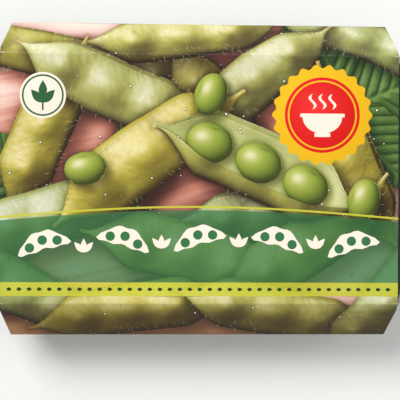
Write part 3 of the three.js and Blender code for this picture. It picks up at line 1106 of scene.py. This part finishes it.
def outer_loop(triangles):
    """The sheet's edge as a run of vertex numbers, anticlockwise."""
    edges = np.vstack([triangles[:, [0, 1]], triangles[:, [1, 2]], triangles[:, [2, 0]]])
    both = {tuple(edge) for edge in edges.tolist()}
    following = {a: b for a, b in both if (b, a) not in both}
    first = next(iter(following))
    loop = [first]
    while following[loop[-1]] != first:
        loop.append(following[loop[-1]])
    return np.array(loop)


def fold_lines(path, stations):
    """The two ends of every fold, as point numbers of the sheet's edge."""
    is_fold = np.isclose(stations[:, None], path.along[None, 1:-1], atol=1e-5).any(1)
    last = 2 * len(stations) - 1
    return [(int(fold), last - int(fold)) for fold in np.flatnonzero(is_fold)]


def sleeve_mesh(sizes):
    """The sleeve as one closed sheet of board, and the path along which it is folded."""
    path = FoldedPath(sizes)
    edge, stations = sheet_outline(path)
    cloth = Cloth(box_outline(-BEYOND, -path.waist, BEYOND, path.waist))
    motifs = [cloth, *served_pods(), *plain_panels(path, sizes)]
    graphics = pod_hairs(motifs) + front_graphics(sizes) + back_graphics(path, sizes)
    folds = fold_lines(path, stations)
    points, lines = [edge], list(folds)
    total = len(edge)
    for shape in motifs + graphics:
        outline = shape.outline if isinstance(shape, PLAIN) else dense(shape.outline)
        size = len(outline)
        points.append(outline)
        lines += [(total + i, total + (i + 1) % size) for i in range(size)]
        total += size
    points.append(scattered(path, motifs))
    flat, triangles = triangulated(path, np.vstack(points), len(edge), lines)
    colours, places = printed_colours(flat, triangles, motifs, graphics)
    loop = outer_loop(triangles)
    rim = flat[loop]
    inner_lines = [tuple(nearest(rim, edge[end]) for end in ends) for ends in folds]
    inner_flat, inner_triangles = triangulated(path, rim, len(rim), inner_lines)
    back = np.array([nearest(inner_flat, point) for point in rim])
    outer_count = len(flat)
    inner_triangles = inner_triangles[:, ::-1] + outer_count
    a, b = loop, np.roll(loop, -1)
    inner_a, inner_b = back + outer_count, np.roll(back, -1) + outer_count
    sides = np.vstack([np.column_stack([b, a, inner_a]), np.column_stack([b, inner_a, inner_b])])
    vertices = np.vstack([path.place(flat), path.place(inner_flat, inner=True)])
    faces = np.vstack([triangles, inner_triangles, sides])
    mesh = bpy.data.meshes.new("sleeve_board")
    mesh.from_pydata(vertices.tolist(), [], faces.tolist())
    slots = np.repeat([0, 1, 2], [len(triangles), len(inner_triangles), len(sides)])
    fill(mesh.polygons, "material_index", slots, np.int32)
    printed = np.ones((len(faces) * 3, 4))
    printed[:, 3] = 0
    printed[: len(colours)] = colours
    printed[:, :3] = to_linear(printed[:, :3])
    fill(mesh.color_attributes.new("print", "FLOAT_COLOR", "CORNER").data, "color", printed)
    all_flat = np.vstack([flat, inner_flat])[faces.ravel()]
    motif_places = all_flat.copy()
    motif_places[: len(places)] = places
    for name, values in (("sheet", all_flat), ("motif", motif_places)):
        fill(mesh.uv_layers.new(name=name).uv, "vector", values * PRINT_SCALE)
    mesh.update()
    mesh.shade_smooth()
    mesh.set_sharp_from_angle(angle=math.radians(40))
    return mesh, path


# Materials


class Finish:
    """A material under construction: node() adds a node, sets it up and links it."""

    def __init__(self, name, **sockets):
        self.material = bpy.data.materials.new(name)
        self.material.use_nodes = True
        self.tree = self.material.node_tree
        self.shader = self.tree.nodes["Principled BSDF"]
        for socket, value in sockets.items():
            self.set(self.shader, socket.replace("_", " "), value)

    def set(self, node, socket, value):
        target = node.inputs[socket]
        if isinstance(value, bpy.types.NodeSocket):
            self.tree.links.new(value, target)
        elif isinstance(value, bpy.types.Node):
            self.tree.links.new(value.outputs[0], target)
        else:
            target.default_value = value

    def node(self, kind, inputs=None, **settings):
        node = self.tree.nodes.new("ShaderNode" + kind)
        for name, value in settings.items():
            setattr(node, name, value)
        for socket, value in (inputs or {}).items():
            self.set(node, socket, value)
        return node

    def math(self, operation, first, second=0.0, third=0.0):
        return self.node("Math", {0: first, 1: second, 2: third}, operation=operation)

    def noise(self, vector, scale, detail=2.0, roughness=0.5):
        inputs = {"Vector": vector, "Scale": scale, "Detail": detail, "Roughness": roughness}
        return self.node("TexNoise", inputs)

    def stretch(self, vector, x, y, z=1.0):
        return self.node("Mapping", {"Vector": vector, "Scale": (x, y, z)})

    def span(self, value, low, high, out_low=0.0, out_high=1.0):
        return self.node("MapRange", {"Value": value, 1: low, 2: high, 3: out_low, 4: out_high})

    def blend(self, share, first, second, mode="MIX"):
        node = self.node("Mix", {0: share}, data_type="RGBA", blend_type=mode)
        self.set(node, 6, first)
        self.set(node, 7, second)
        return node.outputs[2]

    def colour(self, value):
        self.set(self.shader, "Base Color", value)

    def roughness(self, value):
        self.set(self.shader, "Roughness", value)

    def bump(self, height, distance_mm):
        bump = self.node("Bump", {"Height": height, "Distance": distance_mm * MM, "Strength": 1.0})
        self.set(self.shader, "Normal", bump)


def ink(value, tint=1.0):
    """A colour property, tinted, as the linear colour that a shader takes."""
    return (*to_linear(np.array(value) * tint), 1.0)


def printed_board(path):
    """Varnished ink on white board, with fine fibres in the picture and ink rubbed off the folds."""
    finish = Finish("printed_board", Specular_IOR_Level=0.32)
    printed = finish.node("Attribute", attribute_name="print")
    motif = finish.node("UVMap", uv_map="motif")
    sheet = finish.node("UVMap", uv_map="sheet")
    down = finish.noise(finish.stretch(motif, 70, 260), 1.0, 3.0, 0.6)
    pores = finish.noise(motif, 210, 2.0)
    grain = finish.math("MULTIPLY_ADD", down, 0.3, finish.math("MULTIPLY", pores, 0.22))
    around_zero = finish.math("SUBTRACT", grain, 0.26)
    strength = finish.math("MULTIPLY", printed.outputs["Alpha"], around_zero)
    lighter = finish.math("ADD", strength, 1.0)
    tint = finish.node("CombineColor", {0: lighter, 1: lighter, 2: lighter})
    picture = finish.blend(1.0, printed.outputs["Color"], tint, "MULTIPLY")
    sheet_place = finish.node("SeparateXYZ", {0: sheet}).outputs
    along = finish.math("ABSOLUTE", sheet_place[1])
    end = SLEEVE_HIGH[0] * PRINT_SCALE
    tip = 2.5 * PRINT_SCALE
    corners = finish.span(finish.math("ABSOLUTE", sheet_place[0]), end - tip, end, 0.0, 0.6)
    gaps = []
    for fold in (path.fold, path.waist, path.bottom):
        offset = finish.math("SUBTRACT", along, fold * PRINT_SCALE)
        gaps.append(finish.math("ABSOLUTE", offset))
    gap = finish.math("MINIMUM", finish.math("MINIMUM", gaps[0], gaps[1]), gaps[2])
    crease = finish.span(gap, 0.35 * PRINT_SCALE, 0.08 * PRINT_SCALE)
    rubbed = finish.span(finish.noise(sheet, 46, 5.0, 0.7), 0.45, 0.7, 0.0, 0.16)
    worn = finish.math("MULTIPLY", crease, finish.math("MAXIMUM", rubbed, corners))
    finish.colour(finish.blend(worn, picture, (0.86, 0.84, 0.78, 1)))
    varnish = finish.span(finish.noise(sheet, 30, 3.0), 0.3, 0.7, 0.27, 0.36)
    finish.roughness(finish.math("MULTIPLY_ADD", worn, 0.3, varnish))
    orange_peel = finish.noise(sheet, 120, 2.0)
    finish.bump(orange_peel, 0.012)
    return finish.material


def bare_board(shade, name, speckle):
    """Unprinted board: short crossed fibres with darker specks."""
    finish = Finish(name, Roughness=0.9, Specular_IOR_Level=0.2)
    place = finish.node("TexCoord").outputs["Object"]
    along = finish.noise(finish.stretch(place, 300, 2600, 2600), 1.0, 3.0)
    across = finish.noise(finish.stretch(place, 2600, 500, 500), 1.0, 3.0)
    fibres = finish.math("MULTIPLY", finish.math("ADD", along, across), 0.5)
    base = finish.blend(finish.span(fibres, 0.36, 0.64), ink(shade, 0.86), ink(shade))
    specks = finish.span(finish.noise(place, 900, 1.0), 0.68, 0.76, 0.0, speckle)
    finish.colour(finish.blend(specks, base, (0.25, 0.2, 0.15, 1)))
    finish.bump(fibres, 0.03)
    return finish.material


def tray_plastic(settings):
    """Gloss black sheet plastic, slightly uneven where it was drawn into the mould."""
    finish = Finish("black_tray_plastic", Specular_IOR_Level=0.5)
    place = finish.node("TexCoord").outputs["Object"]
    flow = finish.noise(finish.stretch(place, 60, 60, 160), 1.0, 3.0)
    scratches = finish.noise(finish.stretch(place, 1400, 90, 300), 1.0, 4.0, 0.7)
    scuffs = finish.span(scratches, 0.6, 0.75)
    greying = finish.math("MULTIPLY", flow, 0.7)
    finish.colour(finish.blend(greying, ink(settings.plastic), ink(settings.plastic, 1.7)))
    gloss = finish.span(flow, 0.3, 0.7, 0.16, 0.26)
    finish.roughness(finish.math("MULTIPLY_ADD", scuffs, 0.12, gloss))
    finish.bump(flow, 0.25)
    return finish.material


def lid_plastic(settings):
    """Thin clear plastic with a faint ripple."""
    finish = Finish("clear_lid_plastic", Roughness=0.05, IOR=1.55, Specular_IOR_Level=1.0)
    place = finish.node("TexCoord").outputs["Object"]
    ripple = finish.noise(place, 55, 2.0)
    finish.colour(finish.blend(ripple, ink(settings.clear), ink(settings.clear, 0.8)))
    grazing = finish.node("LayerWeight", {"Blend": 0.35}).outputs["Fresnel"]
    finish.set(finish.shader, "Alpha", finish.span(grazing, 0.0, 1.0, settings.haze, 0.7))
    finish.bump(ripple, 0.4)
    return finish.material


def pod_skin(settings):
    """Cooked pod skin: green, paler over the beans, with down, net veins, specks and brown ends."""
    finish = Finish("pod_skin", Specular_IOR_Level=0.5, Coat_Weight=0.22, Coat_Roughness=0.22)
    form = finish.node("Attribute", attribute_name="form")
    parts = finish.node("SeparateColor", {0: form.outputs["Color"]})
    seam, ripe, tip = parts.outputs[0], parts.outputs[1], parts.outputs[2]
    place = finish.node("UVMap", uv_map="pod")
    solid = finish.node("TexCoord").outputs["Object"]
    clouds = finish.noise(solid, 160, 4.0, 0.6)
    green = ink(settings.skin)
    deep_green = ink(settings.skin, [0.74, 0.82, 0.7])
    pale_green = ink(settings.ripe)
    base = finish.blend(finish.span(clouds, 0.32, 0.68), deep_green, green)
    base = finish.blend(finish.math("MULTIPLY", ripe, 0.75), base, pale_green)
    bent = finish.blend(0.04, place, finish.noise(place, 9, 2.0).outputs["Color"])
    meshes = {"Vector": finish.stretch(bent, 3.2, 7), "Scale": 1.0}
    net = finish.node("TexVoronoi", meshes, feature="DISTANCE_TO_EDGE")
    veins = finish.span(net.outputs[0], 0.0, 0.08, 1.0, 0.0)
    base = finish.blend(finish.math("MULTIPLY", veins, 0.11), base, pale_green)
    down = finish.noise(finish.stretch(place, 8, 55), 1.0, 3.0, 0.65)
    base = finish.blend(finish.span(down, 0.54, 0.74, 0.0, 0.35), base, ink(settings.ripe, 1.12))
    specks = finish.span(finish.noise(solid, 900, 2.0), 0.66, 0.74, 0.0, 0.4)
    base = finish.blend(specks, base, (0.09, 0.07, 0.025, 1))
    pale_seam = ink(settings.ripe, [1.08, 1.0, 0.86])
    base = finish.blend(finish.math("MULTIPLY", seam, 0.7), base, pale_seam)
    base = finish.blend(finish.math("MULTIPLY", tip, 0.8), base, (0.16, 0.1, 0.04, 1))
    finish.colour(base)
    finish.roughness(finish.span(down, 0.35, 0.65, 0.34, 0.52))
    finish.set(finish.shader, "Subsurface Weight", 0.12)
    finish.set(finish.shader, "Subsurface Radius", (0.0016, 0.0022, 0.0006))
    finish.set(finish.shader, "Subsurface Scale", 1.0)
    downy = finish.math("MULTIPLY_ADD", down, 0.4, clouds)
    finish.bump(finish.math("MULTIPLY_ADD", veins, -0.12, downy), 0.3)
    return finish.material


def floor_paint(settings):
    """Matt paint, very slightly patchy."""
    finish = Finish("pale_floor", Roughness=0.75, Specular_IOR_Level=0.2)
    place = finish.node("TexCoord").outputs["Object"]
    patches = finish.noise(place, 9, 4.0)
    finish.colour(finish.blend(patches, ink(settings.floor), ink(settings.floor, 0.985)))
    return finish.material


# Pieces


def add_piece(name, mesh, materials, replaced):
    """A visible piece that rides on the body in place of one solid of the frame."""
    piece = bpy.data.objects.new(name, mesh)
    bpy.context.scene.collection.objects.link(piece)
    for material in materials:
        mesh.materials.append(material)
    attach(piece, BODY)
    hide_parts(replaced)
    return piece


def soften(profile, reach, steps=4):
    """A moulding's profile, rounded. Its points hold half length, half width, corner and height."""
    profile = np.array(profile, float)
    points = [profile[0]]
    for before, corner, after in zip(profile, profile[1:], profile[2:]):
        back, on = before - corner, after - corner
        back_cut = min(reach, 0.45 * np.linalg.norm(back[[0, 3]]))
        on_cut = min(reach, 0.45 * np.linalg.norm(on[[0, 3]]))
        back = back * back_cut / max(np.linalg.norm(back[[0, 3]]), 1e-9)
        on = on * on_cut / max(np.linalg.norm(on[[0, 3]]), 1e-9)
        for share in np.linspace(0, 1, steps + 1):
            points.append(corner + (1 - share) ** 2 * back + share**2 * on)
    points.append(profile[-1])
    return np.array(points)


def moulded_ring(half_length, half_width, corner, height, push=0.0, corner_steps=10, sides=(112, 72)):
    """A level ring with round corners, whose straight sides can be pushed out into upright flutes."""
    points_a_flute = 8
    ring = []
    for quarter, (sign_x, sign_y) in enumerate([(1, 1), (-1, 1), (-1, -1), (1, -1)]):
        turn = quarter * math.pi / 2 + np.linspace(0, math.pi / 2, corner_steps + 1)
        centre = np.array([sign_x * (half_length - corner), sign_y * (half_width - corner)])
        ring.append(centre + corner * np.column_stack([np.cos(turn), np.sin(turn)]))
        count = sides[quarter % 2]
        share = np.linspace(0, 1, count + 1)[1:-1]
        start = ring[-1][-1]
        end = start * ([-1, 1] if quarter % 2 == 0 else [1, -1])
        outward = np.array([np.cos(turn[-1]), np.sin(turn[-1])])
        flutes = 0.5 - 0.5 * np.cos(share * 2 * math.pi * count / points_a_flute)
        ring.append(start + (end - start) * share[:, None] + outward * (push * flutes)[:, None])
    ring = np.vstack(ring)
    return np.column_stack([ring, np.full(len(ring), height)])


def moulding(name, rings):
    """A closed thin moulding over a run of rings, with its first and last ring filled."""
    count = len(rings[0])
    mesh = bpy.data.meshes.new(name)
    faces = []
    for ring in range(len(rings) - 1):
        for i in range(count):
            j = (i + 1) % count
            low, high = ring * count, (ring + 1) * count
            faces.append((low + i, low + j, high + j, high + i))
    faces.append(tuple(range(count))[::-1])
    faces.append(tuple(range((len(rings) - 1) * count, len(rings) * count)))
    mesh.from_pydata((np.vstack(rings) * MM).tolist(), [], faces)
    mesh.update()
    mesh.shade_smooth()
    mesh.set_sharp_from_angle(angle=math.radians(40))
    return mesh


def spaced(profile, step=1.6):
    """The profile with more points where its own lie far apart."""
    stations = []
    gaps = np.linalg.norm(np.diff(profile[:, [0, 3]], axis=0), axis=1)
    for station, after, gap in zip(profile, profile[1:], gaps):
        for share in np.linspace(0, 1, max(1, int(gap / step)) + 1)[:-1]:
            stations.append(station + (after - station) * share)
    return [*stations, profile[-1]]


def tray_mesh(settings):
    """The tray: a floor raised inside a channel, fluted walls and a flat rim with a lip."""
    wall = settings.wall / MM
    shelf = settings.rim_shelf / MM
    flute = settings.flute_depth / MM
    rim_x, rim_y = TRAY_HIGH[0], TRAY_HIGH[1]
    base, top = TRAY_LOW[2], TRAY_HIGH[2]
    floor_x, floor_y = 71.0, 49.0
    corner, floor_corner, lip = 18.0, 11.0, 2.2
    foot, step, raised_edge = 3.0, 11.0, 13.0  # in from the floor's edge
    slant, rounding = 0.4, 0.9
    raised = base + 1.8
    outer = [
        (floor_x - raised_edge, floor_y - raised_edge, 6, raised),
        (floor_x - step, floor_y - step, 7, base),
        (floor_x - foot, floor_y - foot, floor_corner - 2, base),
        (floor_x, floor_y, floor_corner, base + 2.6),
        (rim_x - shelf, rim_y - shelf, corner - shelf + 1, top - wall),
        (rim_x - wall, rim_y - wall, corner - wall, top - wall),
        (rim_x - wall, rim_y - wall, corner - wall, top - lip),
    ]
    inner = [
        (rim_x, rim_y, corner, top - lip),
        (rim_x, rim_y, corner, top),
        (rim_x - shelf - wall, rim_y - shelf - wall, corner - shelf, top),
        (floor_x - wall, floor_y - wall, floor_corner - wall, base + 3.0),
        (floor_x - foot - slant, floor_y - foot - slant, floor_corner - 3, base + wall),
        (floor_x - step + slant, floor_y - step + slant, 7, base + wall),
        (floor_x - raised_edge + slant, floor_y - raised_edge + slant, 6, raised + wall),
    ]
    stations = [*spaced(soften(outer, rounding)), *spaced(soften(inner, rounding))]
    low, high, fade = base + 5, top - 3.5, 3
    rings = []
    for half_x, half_y, round_corner, height in stations:
        on_wall = smooth(height, low, low + fade) * (1 - smooth(height, high - fade, high))
        is_wall = half_x < rim_x - shelf + 0.2
        rings.append(moulded_ring(half_x, half_y, round_corner, height, flute * on_wall * is_wall))
    return moulding("tray_shell", rings)


def lid_mesh(settings):
    """The lid: a low dome with a seat over the tray's rim and a skirt round it."""
    film = settings.film / MM
    play, seat, rounding = 0.3, 5.0, 0.7
    skirt_x, skirt_y, skirt_corner = LID_HIGH[0] - film, LID_HIGH[1] - film, 18.3
    foot_x, foot_y, foot_corner = skirt_x - seat, skirt_y - seat, 13.0
    top_x, top_y, top_corner, edge = 72.0, 48.5, 12.0, 1.6
    top, rim = LID_HIGH[2], TRAY_HIGH[2] + play
    inner = [
        (top_x - edge, top_y - edge, top_corner - edge, top - film),
        (top_x - film, top_y - film, top_corner - film, top - edge),
        (foot_x - film, foot_y - film, foot_corner - film, rim),
        (skirt_x, skirt_y, skirt_corner, rim),
        (skirt_x, skirt_y, skirt_corner, LID_LOW[2]),
    ]
    outer = [
        (skirt_x + film, skirt_y + film, skirt_corner + film, LID_LOW[2]),
        (skirt_x + film, skirt_y + film, skirt_corner + film, rim + film),
        (foot_x, foot_y, foot_corner, rim + film),
        (top_x, top_y, top_corner, top - edge + film / 2),
        (top_x - edge, top_y - edge, top_corner - edge, top),
    ]
    stations = np.vstack([soften(inner, rounding), soften(outer, rounding)])
    return moulding("lid_shell", [moulded_ring(*station, sides=(24, 16)) for station in stations])


def smoothed_solid(node, name, fineness):
    """A solid of the frame as a smooth mesh."""
    rough = bmesh.new()
    rough.from_mesh(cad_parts[node].data)
    bmesh.ops.remove_doubles(rough, verts=rough.verts, dist=1e-5)
    bmesh.ops.join_triangles(
        rough,
        faces=rough.faces,
        angle_face_threshold=math.radians(50),
        angle_shape_threshold=math.radians(70),
    )
    mesh = bpy.data.meshes.new(name)
    rough.to_mesh(mesh)
    rough.free()
    holder = bpy.data.objects.new(name, mesh)
    bpy.context.scene.collection.objects.link(holder)
    holder.modifiers.new("smooth", "SUBSURF").levels = fineness
    graph = bpy.context.evaluated_depsgraph_get()
    fine = bpy.data.meshes.new_from_object(holder.evaluated_get(graph))
    bpy.data.objects.remove(holder)
    fine.name = name
    return fine


SEAM_RELIEF = 0.3


def pod_mesh(node, name, fineness):
    """A pod of the frame made smooth, with its seams raised and its parts marked for the skin."""
    fine = smoothed_solid(node, name, fineness)
    points = np.zeros(len(fine.vertices) * 3)
    fine.vertices.foreach_get("co", points)
    points = points.reshape(-1, 3)
    middle = points.mean(0)
    axes = np.linalg.eigh(np.cov((points - middle).T))[1][:, ::-1]
    own = (points - middle) @ axes
    reach = np.abs(own).max(0)
    across = own[:, 1] - np.polyval(np.polyfit(own[:, 0], own[:, 1], 2), own[:, 0])
    seam = np.exp(-((own[:, 2] / (0.15 * reach[2])) ** 2))
    ripe = smooth(np.abs(own[:, 2]) / reach[2], 0.55, 1.0)
    tip = smooth(np.abs(own[:, 0]) / reach[0], 0.93, 1.0)
    form = np.column_stack([seam, ripe, tip, np.ones(len(points))])
    outward = np.zeros_like(points)
    outward[:, 1] = np.sign(across)
    outward = outward @ axes.T
    raised = seam * (1 - smooth(np.abs(own[:, 0]) / reach[0], 0.75, 0.95))
    points += outward * (raised * SEAM_RELIEF * MM)[:, None]
    fill(fine.vertices, "co", points)
    fill(fine.color_attributes.new("form", "FLOAT_COLOR", "POINT").data, "color", form)
    corners = np.zeros(len(fine.loops), np.int32)
    fine.loops.foreach_get("vertex_index", corners)
    flat = np.column_stack([own[:, 0], np.arctan2(own[:, 2], across) * reach[1]])[corners]
    fill(fine.uv_layers.new(name="pod").uv, "vector", flat / MM * POD_SCALE)
    fine.update()
    fine.shade_smooth()
    return fine


# Operators, one for each piece or group of like pieces


def settings_of(context, part):
    return getattr(context.scene, "tray_pack_" + part)


class TRAYPACK_OT_pods(bpy.types.Operator):
    """Add the cooked pods that fill the tray"""

    bl_idname = "traypack.pods"
    bl_label = "Pods"

    def execute(self, context):
        settings = settings_of(context, "pods")
        skin = pod_skin(settings)
        for node in sorted(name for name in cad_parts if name.startswith("pod_")):
            mesh = pod_mesh(node, node + "_skin", settings.fineness)
            add_piece(node + "_skin", mesh, [skin], node)
        return {"FINISHED"}


class TRAYPACK_OT_tray(bpy.types.Operator):
    """Add the black moulded tray"""

    bl_idname = "traypack.tray"
    bl_label = "Tray"

    def execute(self, context):
        settings = settings_of(context, "tray")
        add_piece("tray_shell", tray_mesh(settings), [tray_plastic(settings)], "tray")
        return {"FINISHED"}


class TRAYPACK_OT_lid(bpy.types.Operator):
    """Add the clear lid"""

    bl_idname = "traypack.lid"
    bl_label = "Lid"

    def execute(self, context):
        settings = settings_of(context, "lid")
        add_piece("lid_shell", lid_mesh(settings), [lid_plastic(settings)], "lid")
        return {"FINISHED"}


class TRAYPACK_OT_sleeve(bpy.types.Operator):
    """Add the folded and printed board sleeve"""

    bl_idname = "traypack.sleeve"
    bl_label = "Sleeve"

    def execute(self, context):
        settings = settings_of(context, "sleeve")
        mesh, path = sleeve_mesh(settings)
        inside_face = bare_board(settings.bare_board, "bare_board", 0.5)
        cut_edge = bare_board((0.93, 0.91, 0.87), "cut_board", 0.2)
        add_piece("sleeve_board", mesh, [printed_board(path), inside_face, cut_edge], "sleeve")
        return {"FINISHED"}


# The camera looks almost straight down on the front, from a little to its left
FRONT_SCALE = 2.496  # image pixels to a millimetre of the front
IMAGE_WIDTH = 400
FRONT_MIDDLE = (200.4, 178.7)  # image pixels
CAMERA_YAW = 2.5
CAMERA_ROLL = 0.3
SENSOR = 36.0


class TRAYPACK_OT_stage(bpy.types.Operator):
    """Add the floor, the lights and the camera"""

    bl_idname = "traypack.stage"
    bl_label = "Stage"

    def execute(self, context):
        settings = settings_of(context, "stage")
        self.add_floor(settings)
        self.add_lights()
        self.add_camera(settings)
        return {"FINISHED"}

    def add_floor(self, settings):
        bpy.ops.mesh.primitive_grid_add(x_subdivisions=8, y_subdivisions=8, size=6)
        floor = bpy.context.object
        floor.name = "floor"
        floor.data.materials.append(floor_paint(settings))
        world = bpy.data.worlds.new("studio")
        world.use_nodes = True
        background = world.node_tree.nodes["Background"]
        background.inputs["Color"].default_value = (1, 1, 1, 1)
        background.inputs["Strength"].default_value = 0.32
        bpy.context.scene.world = world

    def add_lights(self):
        for name, place, size, power in (
            ("key", (-0.85, 1.05, 1.35), 1.1, 32.0),
            ("fill", (1.3, 0.1, 0.7), 1.4, 10.0),
            ("front", (0.1, -1.5, 0.8), 1.3, 2.0),
        ):
            light = bpy.data.lights.new(name, "AREA")
            light.size = size
            light.energy = power
            lamp = bpy.data.objects.new(name, light)
            lamp.location = place
            lamp.rotation_euler = (-Vector(place)).to_track_quat("-Z", "Y").to_euler()
            bpy.context.scene.collection.objects.link(lamp)

    def add_camera(self, settings):
        distance = settings.camera_distance
        centre = IMAGE_WIDTH / 2
        right = (centre - FRONT_MIDDLE[0]) / FRONT_SCALE
        up = (FRONT_MIDDLE[1] - centre) / FRONT_SCALE
        aim = Vector((right, up, SLEEVE_HIGH[2])) * MM
        camera = bpy.data.cameras.new("camera")
        camera.sensor_width = SENSOR
        camera.lens = SENSOR * distance / (IMAGE_WIDTH / FRONT_SCALE * MM)
        camera.clip_start = 0.01
        holder = bpy.data.objects.new("camera", camera)
        yaw = math.radians(CAMERA_YAW)
        holder.location = aim + Vector((-math.sin(yaw), 0, math.cos(yaw))) * distance
        holder.rotation_euler = (0, -yaw, math.radians(CAMERA_ROLL))
        bpy.context.scene.collection.objects.link(holder)
        bpy.context.scene.camera = holder
        bpy.context.scene.view_settings.view_transform = "Standard"


OPERATORS = (TRAYPACK_OT_stage, TRAYPACK_OT_pods, TRAYPACK_OT_tray, TRAYPACK_OT_lid, TRAYPACK_OT_sleeve)
SETTINGS = {
    "sleeve": SleeveSettings,
    "tray": TraySettings,
    "lid": LidSettings,
    "pods": PodSettings,
    "stage": StageSettings,
}


class TRAYPACK_PT_panel(bpy.types.Panel):
    bl_label = "Tray Pack"
    bl_idname = "TRAYPACK_PT_panel"
    bl_space_type = "VIEW_3D"
    bl_region_type = "UI"
    bl_category = "Tray Pack"

    def draw(self, context):
        for part, group in SETTINGS.items():
            box = self.layout.box()
            box.operator("traypack." + part)
            for name in group.__annotations__:
                box.prop(settings_of(context, part), name)


def register():
    for group in SETTINGS.values():
        bpy.utils.register_class(group)
    for part, group in SETTINGS.items():
        setattr(bpy.types.Scene, "tray_pack_" + part, PointerProperty(type=group))
    for operator in OPERATORS:
        bpy.utils.register_class(operator)
    bpy.utils.register_class(TRAYPACK_PT_panel)


def unregister():
    bpy.utils.unregister_class(TRAYPACK_PT_panel)
    for operator in reversed(OPERATORS):
        bpy.utils.unregister_class(operator)
    for part, group in SETTINGS.items():
        delattr(bpy.types.Scene, "tray_pack_" + part)
        bpy.utils.unregister_class(group)


def main():
    register()
    bpy.ops.traypack.stage()
    bpy.ops.traypack.pods()
    bpy.ops.traypack.tray()
    bpy.ops.traypack.lid()
    bpy.ops.traypack.sleeve()


if __name__ == "__main__":
    main()
